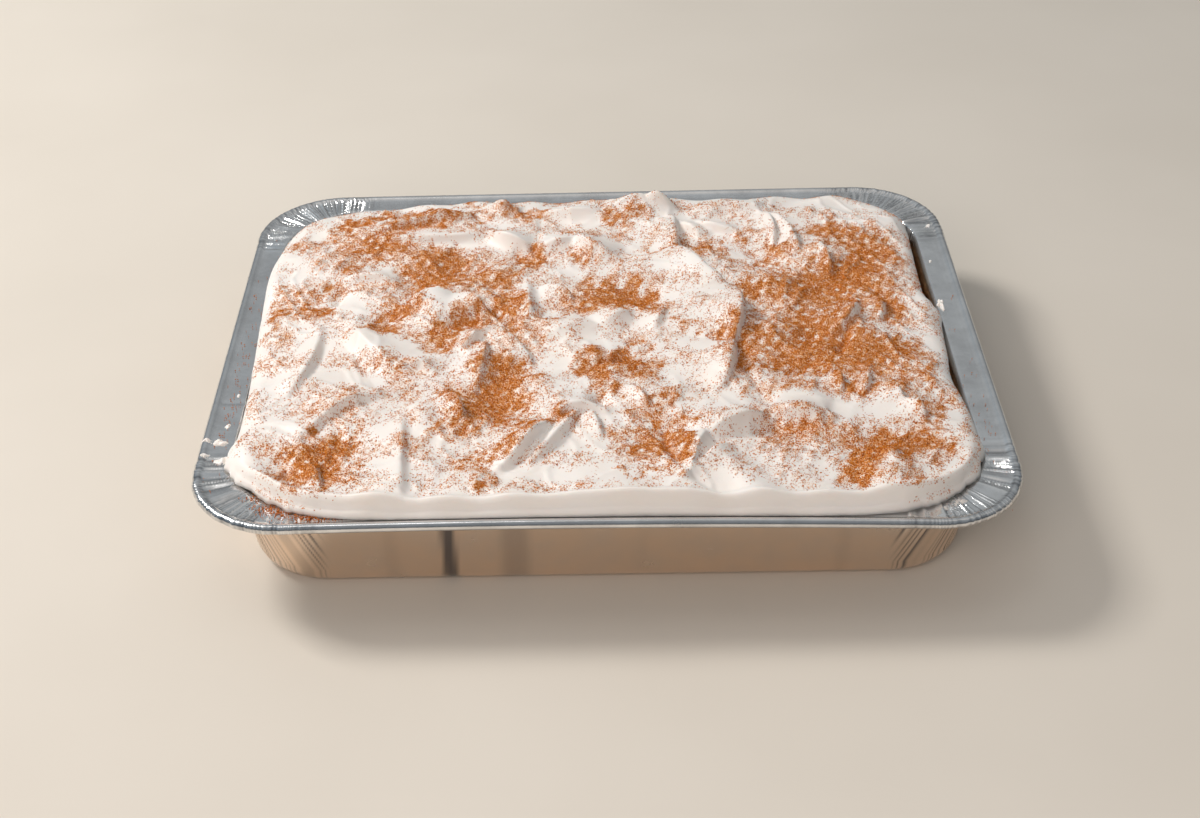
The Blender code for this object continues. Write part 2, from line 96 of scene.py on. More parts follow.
@dataclass(frozen=True)
class Swell:
    """A rounded mound, or a scooped hollow where its rise is negative."""

    x: float
    y: float
    along: float
    across: float
    heading: float
    rise: float


@dataclass(frozen=True)
class Smear:
    """A smear of cream on the flange: an oval with a rounded top."""

    x: float
    y: float
    along: float
    across: float
    heading: float
    rise: float


@dataclass(frozen=True)
class Spill:
    """A cloud of spilled grains: its middle, its spread along and across the pan, and its number."""

    x: float
    y: float
    wide: float
    deep: float
    count: int


@dataclass(frozen=True)
class Dusting:
    """A patch of cinnamon: an oval that thins out towards its edge."""

    x: float
    y: float
    along: float
    across: float
    heading: float
    amount: float


EDGES = (
    Edge(0, -1, 4), Edge(4, 0, 4), Edge(6, 2, 5), Edge(9, -5, 4), Edge(24, -4, 4.5), Edge(39, -2, 5),
    Edge(50, -1, 5.5), Edge(90, 0, 5), Edge(118, -1, 5), Edge(130, -3, 2.5), Edge(141, -3, 3),
    Edge(150, -1, 4), Edge(159, 4, 4), Edge(170, 3, 4), Edge(185, 1, 4), Edge(202, -1, 5.5),
    Edge(209, 0, 5.5), Edge(212, 5, 5), Edge(216, 1, 6.5), Edge(220, 1.5, 7), Edge(223, 3.2, 7),
    Edge(226, 6.5, 7), Edge(230, 9, 7), Edge(237, 9.8, 6.5), Edge(247, 9.8, 5.5),
    Edge(266, 9.8, 8), Edge(280, 9.8, 7.5), Edge(292, 9.8, 6), Edge(298, 9.8, 8), Edge(303, 9.8, 7),
    Edge(310, 9, 7), Edge(314, 6.5, 7.5), Edge(318, 3.5, 7.5), Edge(324, 2, 6.5), Edge(330, 0.3, 5.5),
    Edge(337, 0, 5), Edge(346, -4, 4), Edge(352, -2, 4),
)

# Strokes of the spoon, from the back of the pan to its front
RIDGES = (
    Ridge(34, 88, 34, 60, -1, 7, 10, 3), Ridge(33, 61, 57, 20, -4, 10, 13, 3),
    Ridge(56, 24, 53, -17, 3, 10.5, 16, 3), Ridge(54, -14, 47, -50, 1, 7, 11, 3),
    Ridge(34, 100, 22, 103, 0, 6, 5, 5), Ridge(22, 103, 3, 97, -1, 4, 6, 6),
    Ridge(2, 97, -29, 98, 2, 6, 8, 8), Ridge(78, 98, 44, 97, -3, 6, 8, 9),
    Ridge(62, 76, 44, 86, 1, 4.5, 5, 3), Ridge(48, 72, 37, 85, 0, 4.5, 6, 4),
    Ridge(75, 94, 78, 62, 2, 6, 3.5, 2.5), Ridge(78, 93, 89, 56, 2, 6, 4, 3),
    Ridge(98, 61, 102, 41, 0, 6, 2.5, 2.5), Ridge(-61, 94, -107, 82, -2, 6, 5, 6),
    Ridge(-49, 77, -106, 75, 3, 4.5, 6, 5), Ridge(-92, 35, -114, 38, -2, 5, 6, 5),
    Ridge(6, 52, -12, 71, 2, 7, 9, 8), Ridge(-11, 71, -31, 65, 3, 6, 9, 8),
    Ridge(-30, 65, -50, 77, 3, 7, 9, 7), Ridge(-58, 27, -81, 31, 0, 4, 3, 3),
    Ridge(-84, 12, -64, 19, 2, 7, 14, 4), Ridge(-65, 19, -46, 0, 0, 7, 14, 4),
    Ridge(-48, -7, -60, -20, -2, 6, 5, 3), Ridge(-49, -5, -31, -31, 2, 5, 7, 3),
    Ridge(-51, -14, -54, -49, 1, 4.5, 5, 3), Ridge(-71, -37, -85, -33, -3, 4.5, 6, 4),
    Ridge(-34, 32, -32, 0, -1, 5, 4, 8), Ridge(-29, 28, -14, 14, 4, 5, 9, 3),
    Ridge(11, 6, -3, -4, 0, 6, 8, 10), Ridge(-2, -4, -24, -11, -3, 4.5, 8, 10),
    Ridge(-11, -45, 8, -30, 0, 4.5, 8, 3), Ridge(27, 9, 21, -7, -1, 4.5, 5, 4),
    Ridge(-84, -34, -106, 5, 5, 6, 16, 10), Ridge(-122, -3, -129, -54, 2, 4.5, 7, 5),
    Ridge(-92, -53, -120, -80, -4, 5, 13, 4), Ridge(-82, -68, -79, -120, -1, 3.5, 8, 5),
    Ridge(-67, -53, -58, -70, 1, 6, 5, 2.5), Ridge(-1, -67, -22, -74, -6, 6, 7, 3.5),
    Ridge(-21, -73, -42, -104, 0, 7, 7, 3.5), Ridge(-10, -62, -30, -99, 1, 4.5, 4, 3),
    Ridge(-7, -67, -3, -84, 0, 4, 4, 2.5), Ridge(8, -50, 16, -63, 1, 4, 3, 2.5),
    Ridge(88, -74, 65, -68, 0, 7, 9, 7), Ridge(66, -68, 37, -86, 0, 7.5, 10, 8),
    Ridge(38, -84, 29, -113, -1, 7.5, 9, 8), Ridge(30, -112, 47, -93, 0, 4.5, 7, 3),
    Ridge(111, 16, 97, -9, 2, 5, 6, 4), Ridge(122, 17, 119, 3, 0, 4.5, 6, 3),
    Ridge(95, -42, 95, -54, 0, 4.5, 2.5, 2.5), Ridge(108, -40, 104, -56, 0, 4.5, 2.5, 2.5),
    Ridge(111, -50, 119, -64, 1, 4, 4, 3), Ridge(120, -63, 126, -75, 1, 4.5, 4, 3),
    Ridge(-114, -99, -110, -117, 0, 4, 3, 3),
)
CREASES = (
    Crease(55, -15, 66, -62, -2, 3.5, 2.5), Crease(22, -76, 29, -112, -1, 5, 2.5),
    Crease(103, 40, 128, 8, 5, 3.5, 4), Crease(104, -6, 97, -28, 1, 4, 3),
    Crease(-127, -92, -120, -114, 0, 3.5, 4), Crease(-115, 33, -117, 18, 0, 4, 3),
    Crease(33, 84, 33, 66, 0, 2, 3), Crease(-40, 62, -36, 50, 0, 2, 3),
)
SWELLS = (
    Swell(22, 100, 13, 8, 0, 6), Swell(-46, 102, 6, 7, 0, 6.5), Swell(-45, 43, 8, 6, 20, 3.5),
    Swell(-68, 8, 16, 12, 10, 2.5), Swell(-74, -68, 6, 9, 10, 3.5), Swell(-48, -8, 4, 4, 0, 2.5),
    Swell(109, -100, 4, 6, 0, 3), Swell(109, -114, 7, 7, 0, 3), Swell(128, 84, 14, 10, -40, 2),
    Swell(-142, -96, 8, 12, 0, 3), Swell(42, -98, 8, 12, 40, 2), Swell(-65, 48, 16, 7, 15, -3.5),
    Swell(-58, 1, 12, 5, 20, -4), Swell(-43, -58, 12, 14, 0, -3), Swell(-40, -40, 8, 7, 0, -2.5),
    Swell(12, 22, 13, 8, 15, -3), Swell(2, -33, 11, 4, 40, -3.5), Swell(-3, -59, 4, 3.5, 0, -4.5),
    Swell(93, 12, 14, 12, 0, -2.5), Swell(88, -12, 11, 6, 10, -3), Swell(86, -35, 13, 7, 0, -2.5),
    Swell(104, -87, 12, 8, 20, -3.5), Swell(96, -113, 4, 8, 0, -2.5), Swell(-108, -99, 9, 15, -10, -4),
    Swell(-92, 8, 8, 8, 0, -2), Swell(70, -88, 13, 12, 0, -2), Swell(14, -86, 8, 6, 0, -1.5),
    Swell(66, 55, 12, 14, 0, -1.5),
)

# Where the cinnamon fell thickest, from the back of the pan to its front
DUSTINGS = (
    Dusting(-112, 93, 12, 6, 30, 1.0), Dusting(-88, 101, 22, 3.5, 14, 0.7),
    Dusting(-58, 109, 9, 2.5, 10, 0.5),
    Dusting(-82, 88, 23, 5.5, 20, 1.2), Dusting(-55, 91, 5, 4, 0, 0.7), Dusting(-42, 95, 8, 9, 0, 0.4),
    Dusting(-32, 95, 6, 6, 0, 0.9), Dusting(6, 90, 5, 5, 0, 0.9), Dusting(8, 84, 14, 6, 0, 0.4),
    Dusting(16, 92, 4, 6, 0, 0.6), Dusting(-138, 72, 8, 8, 0, 0.4), Dusting(-122, 76, 6, 9, 0, 0.6),
    Dusting(-103, 65, 15, 10, 0, 1.2), Dusting(-72, 52, 16, 13, 0, 1.2), Dusting(-77, 35, 13, 11, 0, 1.1),
    Dusting(-49, 36, 14, 8, 0, 1.1), Dusting(-30, 55, 7, 9, -20, 1.1), Dusting(-110, 46, 6, 4, 30, 0.8),
    Dusting(-90, 10, 10, 10, 0, 1.1), Dusting(-95, -5, 8, 4, 0, 0.8), Dusting(-41, 8, 7, 19, 6, 1.1),
    Dusting(-60, 0, 18, 7, 42, 1.2), Dusting(-68, -17, 10, 6, 0, 0.8), Dusting(-27, 0, 5, 12, 0, 0.5),
    Dusting(-126, 15, 6, 9, 0, 1.0), Dusting(-132, 27, 10, 8, 0, 0.6), Dusting(-143, 12, 4, 18, 0, 0.7),
    Dusting(-116, 33, 3, 6, 0, 0.6), Dusting(-118, 50, 8, 10, 0, 0.4), Dusting(-138, -12, 6, 14, 0, 0.3),
    Dusting(2, 24, 16, 13, 0, 1.1), Dusting(15, 17, 11, 10, 0, 1.1), Dusting(-9, 11, 8, 6, 0, 0.8),
    Dusting(32, -2, 11, 4, -30, 0.6), Dusting(25, 58, 12, 5, 0, 0.5), Dusting(-10, 58, 5, 10, 0, 0.5),
    Dusting(44, 62, 8, 5, -30, 0.9), Dusting(62, 52, 12, 5, -30, 0.6), Dusting(78, 56, 4, 11, 0, 0.8),
    Dusting(66, 74, 9, 5, 0, 0.5), Dusting(89, 58, 6, 6, 0, 0.5), Dusting(106, 76, 13, 8, 0, 1.1),
    Dusting(122, 60, 14, 14, 0, 1.2), Dusting(112, 40, 16, 10, 0, 1.2), Dusting(95, 26, 24, 17, 0, 1.2),
    Dusting(126, 16, 9, 14, 0, 0.9), Dusting(67, 24, 10, 9, 0, 0.9), Dusting(90, -5, 26, 12, 0, 1.1),
    Dusting(83, -28, 22, 13, 0, 1.2), Dusting(57, -22, 7, 17, 0, 1.1), Dusting(110, -28, 14, 16, 0, 1.1),
    Dusting(128, -20, 8, 10, 0, 0.8), Dusting(130, -42, 9, 10, 0, 0.7), Dusting(97, -52, 4, 7, 0, 1.0),
    Dusting(112, -52, 14, 6, 0, 0.5), Dusting(72, -52, 14, 6, 0, 0.5), Dusting(132, -68, 8, 7, -30, 1.1),
    Dusting(4, -28, 14, 7, 25, 1.1), Dusting(-4, -40, 6, 9, 30, 1.0), Dusting(14, -37, 9, 9, 0, 1.0),
    Dusting(3, -53, 5, 3, 0, 0.9), Dusting(25, -57, 12, 4, 0, 0.8), Dusting(17, -17, 4, 4, 0, 0.7),
    Dusting(-42, -38, 11, 16, 0, 1.2), Dusting(-49, -60, 16, 15, 0, 1.3), Dusting(-66, -82, 15, 5, 15, 0.7),
    Dusting(-35, -86, 18, 5, 52, 0.8), Dusting(-20, -74, 9, 4, 35, 0.8), Dusting(-46, -112, 4, 6, 0, 0.9),
    Dusting(-53, -99, 9, 8, 0, 0.6), Dusting(-108, -84, 9, 8, 20, 1.0), Dusting(-113, -101, 15, 15, 0, 1.3),
    Dusting(18, -88, 12, 12, 0, 1.1), Dusting(30, -88, 4, 14, 0, 1.1), Dusting(17, -110, 12, 3, 0, 0.7),
    Dusting(16, -70, 6, 10, 0, 0.5), Dusting(72, -84, 14, 12, 0, 0.7), Dusting(108, -88, 18, 9, 0, 1.2),
    Dusting(105, -99, 13, 7, 0, 1.1), Dusting(96, -110, 6, 9, -10, 1.2), Dusting(126, -90, 8, 9, 0, 0.8),
    Dusting(-85, -45, 14, 12, 0, 0.3), Dusting(-112, -62, 14, 10, 0, 0.3), Dusting(118, -110, 9, 6, 0, 0.4),
)


def eased(value: Array) -> Array:
    """Return an eased 0 to 1 step of value."""
    t = np.clip(value, 0.0, 1.0)
    return t * t * (3.0 - 2.0 * t)


def ripple(x: Array, y: Array, wavelength: float, seed: int, waves: int = 7) -> Array:
    """Return an even, seamless unevenness of about unit height.

    Args:
        x: Places along the pan.
        y: Places across the pan, of the same shape.
        wavelength: The usual distance between two crests.
        seed: The draw of headings and phases.
        waves: How many plain waves are laid over each other.

    Returns:
        The unevenness at each place.
    """
    draw = random.Random(seed)
    total = np.zeros(np.shape(x))
    for _ in range(waves):
        heading = draw.uniform(0.0, math.tau)
        pitch = math.tau / (wavelength * draw.uniform(0.7, 1.4))
        along = x * math.cos(heading) + y * math.sin(heading)
        total += np.sin(pitch * along + draw.uniform(0.0, math.tau))
    return total * math.sqrt(2.0 / waves)


def evened(heights: Array) -> Array:
    """Return a grid of heights with each point drawn towards its neighbours.

    Args:
        heights: The grid.

    Returns:
        The evened grid.
    """
    for _ in range(2):
        padded = np.pad(heights, ((1, 1), (0, 0)), mode="edge")
        heights = (0.25 * padded[:-2] + 0.5 * padded[1:-1] + 0.25 * padded[2:]).T
    return heights


def grid_faces(rows: int, columns: int, wrap: bool = False) -> Array:
    """Return the four-sided faces of a grid of points.

    Args:
        rows: How many rows of points there are.
        columns: How many points a row has.
        wrap: Whether a row's last point joins its first.

    Returns:
        One row of four point numbers for each face.
    """
    across = columns if wrap else columns - 1
    row, column = np.meshgrid(np.arange(rows - 1), np.arange(across), indexing="ij")
    after = (column + 1) % columns
    low = row * columns
    high = low + columns
    return np.stack([low + column, low + after, high + after, high + column], axis=-1).reshape(-1, 4)


def stack_faces(rings: int, count: int) -> Array:
    """Return the triangles of closed rings one over another, with a fan over each end.

    Args:
        rings: How many rings there are.
        count: How many points a ring has.

    Returns:
        One row of three point numbers for each triangle. The middles of the lower and the upper fan are
        the two points that follow the rings.
    """
    quads = grid_faces(rings, count, wrap=True)
    step = np.arange(count)
    after = (step + 1) % count
    under = np.full(count, rings * count)
    over = under + 1
    last = (rings - 1) * count
    lower = np.stack([under, after, step], axis=-1)
    upper = np.stack([over, last + step, last + after], axis=-1)
    return np.vstack([quads[:, [0, 1, 2]], quads[:, [0, 2, 3]], lower, upper])


def add_piece(
        name: str, points: Array, faces: Array, material: bpy.types.Material) -> bpy.types.Object:
    """Make a smooth piece that rides with the cake.

    Args:
        name: The piece's name.
        points: Its points, in millimetres.
        faces: Its faces, as rows of three or four point numbers.
        material: Its finish.

    Returns:
        The new object.
    """
    mesh = bpy.data.meshes.new(name)
    corners = faces.shape[1]
    mesh.vertices.add(len(points))
    mesh.vertices.foreach_set("co", (np.asarray(points, dtype=float) * MM).ravel())
    mesh.loops.add(faces.size)
    mesh.loops.foreach_set("vertex_index", faces.astype(np.int32).ravel())
    mesh.polygons.add(len(faces))
    mesh.polygons.foreach_set("loop_start", np.arange(len(faces), dtype=np.int32) * corners)
    mesh.update(calc_edges=True)
    mesh.validate()
    mesh.shade_smooth()
    mesh.materials.append(material)
    piece = bpy.data.objects.new(name, mesh)
    bpy.context.scene.collection.objects.link(piece)
    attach(piece, BODY)
    log.info("%s: %d points, %d faces", name, len(points), len(faces))
    return piece


class Board:
    """A material's node tree, with short calls that add its nodes and join them."""

    def __init__(self, name: str) -> None:
        """Start a material that has its shader and its output.

        Args:
            name: The material's name.
        """
        self.material = bpy.data.materials.new(name)
        self.material.use_nodes = True
        self.nodes = self.material.node_tree.nodes
        self.links = self.material.node_tree.links
        self.shader = self.nodes["Principled BSDF"]
        place = self.nodes.new("ShaderNodeTexCoord")
        self.place = place.outputs["Object"]

    def join(self, source: bpy.types.NodeSocket, target: bpy.types.NodeSocket) -> None:
        """Join an output to an input."""
        self.links.new(source, target)

    def feed(self, value: object, target: bpy.types.NodeSocket) -> None:
        """Join value to target if it is a socket, and set it there otherwise.

        Args:
            value: An output, or a number or colour.
            target: The input that takes it.
        """
        if isinstance(value, bpy.types.NodeSocket):
            self.join(value, target)
        else:
            target.default_value = value

    def maths(self, operation: str, first: object, second: object = 0.0) -> bpy.types.NodeSocket:
        """Return the result of a maths node.

        Args:
            operation: What the node does.
            first: Its first input.
            second: Its second input.

        Returns:
            The node's output.
        """
        node = self.nodes.new("ShaderNodeMath")
        node.operation = operation
        self.feed(first, node.inputs[0])
        self.feed(second, node.inputs[1])
        return node.outputs[0]

    def noise(self, scale: float, detail: float = 2.0, roughness: float = 0.5) -> bpy.types.NodeSocket:
        """Return a noise of the given scale per metre.

        Args:
            scale: How many lumps there are to a metre, about.
            detail: How many finer layers it has.
            roughness: How strong the finer layers are.

        Returns:
            The noise, about 0 to 1.
        """
        node = self.nodes.new("ShaderNodeTexNoise")
        node.inputs["Scale"].default_value = scale
        node.inputs["Detail"].default_value = detail
        node.inputs["Roughness"].default_value = roughness
        self.join(self.place, node.inputs["Vector"])
        return node.outputs["Fac"]

    def cells(self, scale: float) -> tuple[bpy.types.NodeSocket, bpy.types.NodeSocket, bpy.types.NodeSocket]:
        """Return the distance to the nearest of strewn points, and two even draws that each point has.

        Args:
            scale: How many points there are to a metre, about.

        Returns:
            The distance and the two draws.
        """
        node = self.nodes.new("ShaderNodeTexVoronoi")
        node.inputs["Scale"].default_value = scale
        self.join(self.place, node.inputs["Vector"])
        parts = self.nodes.new("ShaderNodeSeparateColor")
        self.join(node.outputs["Color"], parts.inputs["Color"])
        return node.outputs["Distance"], parts.outputs["Red"], parts.outputs["Green"]

    def span(self, value: object, low: float, high: float,
             to_low: float = 0.0, to_high: float = 1.0) -> bpy.types.NodeSocket:
        """Return value mapped from one range to another, and kept inside it.

        Args:
            value: What is mapped.
            low: The value that gives to_low.
            high: The value that gives to_high.
            to_low: The result at low.
            to_high: The result at high.

        Returns:
            The mapped value.
        """
        node = self.nodes.new("ShaderNodeMapRange")
        self.feed(value, node.inputs["Value"])
        node.inputs["From Min"].default_value = low
        node.inputs["From Max"].default_value = high
        node.inputs["To Min"].default_value = to_low
        node.inputs["To Max"].default_value = to_high
        return node.outputs["Result"]

    def blend(self, share: object, first: object, second: object) -> bpy.types.NodeSocket:
        """Return a colour between two, by a share of the second.

        Args:
            share: The share of the second.
            first: The first colour.
            second: The second colour.

        Returns:
            The colour between them.
        """
        node = self.nodes.new("ShaderNodeMix")
        node.data_type = "RGBA"
        self.feed(share, node.inputs[0])
        for value, target in ((first, node.inputs[6]), (second, node.inputs[7])):
            self.feed((*value, 1.0) if isinstance(value, tuple) else value, target)
        return node.outputs[2]

    def trait(self, name: str) -> bpy.types.NodeSocket:
        """Return a number kept at each point of the mesh.

        Args:
            name: The number's name.

        Returns:
            The number.
        """
        node = self.nodes.new("ShaderNodeAttribute")
        node.attribute_name = name
        return node.outputs["Fac"]

    def height(self) -> bpy.types.NodeSocket:
        """Return the height above the floor, in metres.

        Returns:
            The height.
        """
        node = self.nodes.new("ShaderNodeSeparateXYZ")
        self.join(self.place, node.inputs[0])
        return node.outputs["Z"]

    def bump(self, height: bpy.types.NodeSocket, distance: float, strength: float = 1.0,
             under: object = None) -> bpy.types.NodeSocket:
        """Return a normal roughened by a height, over the normal under it.

        Args:
            height: The height, 0 to 1.
            distance: How far 1 stands out, in metres.
            strength: The share of it that shows.
            under: The normal under it, if there is one.

        Returns:
            The roughened normal.
        """
        node = self.nodes.new("ShaderNodeBump")
        node.inputs["Distance"].default_value = distance
        node.inputs["Strength"].default_value = strength
        self.join(height, node.inputs["Height"])
        if under is not None:
            self.join(under, node.inputs["Normal"])
        return node.outputs["Normal"]


@dataclass(frozen=True)
class FoilFinish:
    """Bright rolled foil, smudged and crinkled, with painted shade and glints in its folds and a painted
    warm reflection below the rim.
    """

    bright: Colour = (0.87, 0.87, 0.87)
    dull: Colour = (0.60, 0.595, 0.59)
    # painted reflection of a warm surface, laid on the walls below the rim
    painted_warm_reflection: Colour = (0.88, 0.68, 0.52)
    # painted shade, laid in the fold grooves and in the dark bands on the walls
    shade: Colour = (0.11, 0.115, 0.13)
    # painted highlight, laid on the fold crests
    glint: Colour = (0.95, 0.93, 0.90)
    rim_level: float = 0.037
    roughness: tuple[float, float] = (0.15, 0.28)

    def material(self) -> bpy.types.Material:
        """Return the foil's material.

        Returns:
            The new material.
        """
        board = Board("foil_bright")
        shader = board.shader
        shader.inputs["Metallic"].default_value = 1.0
        # below the rim the colour turns to the painted warm reflection
        below = board.span(board.height(), self.rim_level + 0.004, self.rim_level)
        smudge = board.noise(60.0, 4.0, 0.6)
        tone = board.blend(below, self.bright, self.painted_warm_reflection)
        smudges = board.span(smudge, 0.35, 0.65, 0.0, 0.7)
        smudged = board.maths("MULTIPLY", smudges, board.span(below, 0.0, 1.0, 1.0, 0.3))
        tone = board.blend(smudged, tone, self.dull)
        # the fold attribute carries painted shade below 0 and painted glints above 0
        fold = board.trait("fold")
        tone = board.blend(board.span(fold, 0.0, -1.0, 0.0, 0.9), tone, self.shade)
        tone = board.blend(board.span(fold, 0.0, 0.8, 0.0, 0.9), tone, self.glint)
        board.join(tone, shader.inputs["Base Color"])
        board.join(board.span(smudge, 0.35, 0.7, *self.roughness), shader.inputs["Roughness"])
        crinkle = board.bump(board.noise(300.0, 3.0, 0.6), 0.0002, 0.2)
        dents = board.bump(board.noise(30.0, 1.0), 0.002, 0.12, crinkle)
        board.join(dents, shader.inputs["Normal"])
        return board.material


@dataclass(frozen=True)
class CreamFinish:
    """Whipped cream: soft, milky and faintly pitted, with a speckle of fine cinnamon where dust fell."""

    colour: Colour = (0.915, 0.865, 0.82)
    hollow: Colour = (0.90, 0.835, 0.775)
    cinnamon: Colour = (0.75, 0.260, 0.030)
    cinnamon_deep: Colour = (0.45, 0.110, 0.010)
    powder: Colour = (0.80, 0.44, 0.15)
    speckles: tuple[tuple[float, float], ...] = ((1300.0, 0.80), (1900.0, 0.90), (2800.0, 1.0))

    def material(self, dusted: bool = True) -> bpy.types.Material:
        """Return the cream's material.

        Args:
            dusted: Whether the mesh carries the dust that fell on it.

        Returns:
            The new material.
        """
        board = Board("cream_dusted" if dusted else "cream_plain")
        shader = board.shader
        shader.inputs["Subsurface Weight"].default_value = 0.15
        shader.inputs["Subsurface Radius"].default_value = (1.0, 0.75, 0.6)
        shader.inputs["Subsurface Scale"].default_value = 0.0015
        tone = board.blend(board.span(board.noise(40.0, 3.0), 0.35, 0.7), self.colour, self.hollow)
        roughness = board.span(board.noise(220.0), 0.3, 0.7, 0.38, 0.55)
        pits = board.bump(board.noise(700.0, 4.0, 0.6), 0.0003, 0.25)
        soft = board.bump(board.noise(110.0, 2.0), 0.0008, 0.2, pits)
        if dusted:
            dust = board.trait("dust")
            tone = board.blend(board.span(dust, 0.2, 1.05, 0.0, 0.75), tone, self.powder)
            for scale, thick in self.speckles:
                distance, chance, shade = board.cells(scale)
                share = board.span(dust, 0.02, 1.1, 0.0, thick)
                chosen = board.maths("LESS_THAN", chance, share)
                round_off = board.span(distance, 0.50, 0.41)
                speck = board.maths("MULTIPLY", chosen, round_off)
                ground = board.blend(shade, self.cinnamon, self.cinnamon_deep)
                tone = board.blend(speck, tone, ground)
                roughness = board.maths("MAXIMUM", roughness, board.span(speck, 0.0, 1.0, 0.0, 0.9))
                soft = board.bump(speck, 0.0002, 0.5, soft)
        board.join(tone, shader.inputs["Base Color"])
        board.join(roughness, shader.inputs["Roughness"])
        board.join(soft, shader.inputs["Normal"])
        return board.material


@dataclass(frozen=True)
class SpongeFinish:
    """Milk-soaked sponge: an open golden crumb, mottled at random with a near-black brown that is part crust
    and part painted shade.
    """

    crumb: Colour = (0.42, 0.24, 0.10)
    # part crust colour, part painted shade for the dark gap where the sponge shows
    crust_and_shade: Colour = (0.12, 0.050, 0.020)

    def material(self) -> bpy.types.Material:
        """Return the sponge's material.

        Returns:
            The new material.
        """
        board = Board("sponge_soaked")
        shader = board.shader
        shader.inputs["Subsurface Weight"].default_value = 0.1
        shader.inputs["Subsurface Scale"].default_value = 0.002
        # random mottle between the crumb and the dark crust, which carries painted shade
        browned_and_shaded = board.span(board.noise(120.0, 4.0, 0.65), 0.3, 0.6)
        board.join(board.blend(browned_and_shaded, self.crust_and_shade, self.crumb), shader.inputs["Base Color"])
        board.join(board.span(board.noise(200.0), 0.3, 0.7, 0.35, 0.7), shader.inputs["Roughness"])
        holes = board.bump(board.cells(480.0)[0], 0.0012, 0.7)
        board.join(board.bump(board.noise(900.0, 4.0), 0.0006, 0.6, holes), shader.inputs["Normal"])
        return board.material


class GrainKind(Enum):
    """The sizes that the ground cinnamon falls in."""

    FINE = "fine"
    COARSE = "coarse"
    DARK = "dark"


@dataclass(frozen=True)
class GrainFinish:
    """One kind of cinnamon grain: its size, its number and its colours."""

    size: tuple[float, float]
    count: int
    light: Colour
    deep: Colour
    sharp: bool

    def material(self, name: str) -> bpy.types.Material:
        """Return the grain's matte material, uneven from grain to grain.

        Args:
            name: The material's name.

        Returns:
            The new material.
        """
        board = Board(name)
        shader = board.shader
        shader.inputs["Specular IOR Level"].default_value = 0.15
        share = board.span(board.noise(1400.0, 1.0), 0.35, 0.65)
        board.join(board.blend(share, self.light, self.deep), shader.inputs["Base Color"])
        board.join(board.span(board.noise(3000.0), 0.3, 0.7, 0.75, 0.95), shader.inputs["Roughness"])
        board.join(board.bump(board.noise(5000.0, 2.0), 0.0001, 0.5), shader.inputs["Normal"])
        return board.material


GRAINS = {
    GrainKind.FINE: GrainFinish((0.34, 0.58), 49000, (0.82, 0.310, 0.038), (0.58, 0.165, 0.016), True),
    GrainKind.COARSE: GrainFinish((0.46, 0.82), 24000, (0.66, 0.195, 0.026), (0.45, 0.110, 0.012), False),
    GrainKind.DARK: GrainFinish((0.42, 0.80), 7000, (0.36, 0.085, 0.011), (0.22, 0.048, 0.007), False),
}


@dataclass
class Outline:
    """The points of a rounded rectangle, with their outward normals and their places in its corners."""

    points: Array
    normals: Array
    place: Array
    corner: Array

    @classmethod
    def rounded(cls, half_x: float, half_y: float, radius: float, corner_steps: int, side_steps: int,
                past: float = 0.35) -> "Outline":
        """Return a rounded rectangle, counter-clockwise from the front right corner.

        Args:
            half_x: Half its length.
            half_y: Half its width.
            radius: Its corners' radius.
            corner_steps: How many steps turn a corner.
            side_steps: How many steps the middle of a side has.
            past: How far a corner's places run on along its sides, as a share of its turn.

        Returns:
            The outline, its place running from 0 to 1 in a corner and on past it by that share.
        """
        points, normals, place, corner = [], [], [], []
        corners = ((1, -1, -90), (1, 1, 0), (-1, 1, 90), (-1, -1, 180))
        for index, (sign_x, sign_y, start) in enumerate(corners):
            for step in range(corner_steps + 1):
                share = step / corner_steps
                angle = math.radians(start + 90.0 * share)
                out = (math.cos(angle), math.sin(angle))
                centre = (sign_x * (half_x - radius), sign_y * (half_y - radius))
                points.append((centre[0] + radius * out[0], centre[1] + radius * out[1]))
                normals.append(out)
                place.append(share)
                corner.append(index)
            following = corners[(index + 1) % 4]
            angle = math.radians(following[2])
            out = (math.cos(angle), math.sin(angle))
            end_x = following[0] * (half_x - radius) + radius * out[0]
            end_y = following[1] * (half_y - radius) + radius * out[1]
            from_x, from_y = points[-1]
            length = math.hypot(end_x - from_x, end_y - from_y)
            quarter = radius * math.pi / 2
            near_steps = max(round(corner_steps * past), 1)
            near = [past * step / near_steps for step in range(near_steps + 1)]
            rest = length / quarter - 2.0 * past
            far = [past + rest * step / side_steps for step in range(1, side_steps)]
            for gone in near[1:] + far + [length / quarter - share for share in near[:0:-1]]:
                share = gone * quarter / length
                points.append((from_x + (end_x - from_x) * share, from_y + (end_y - from_y) * share))
                normals.append(out)
                first_half = share < 0.5
                place.append(1.0 + gone if first_half else gone - length / quarter)
                corner.append(index if first_half else (index + 1) % 4)
        return cls(np.array(points), np.array(normals), np.array(place), np.array(corner))


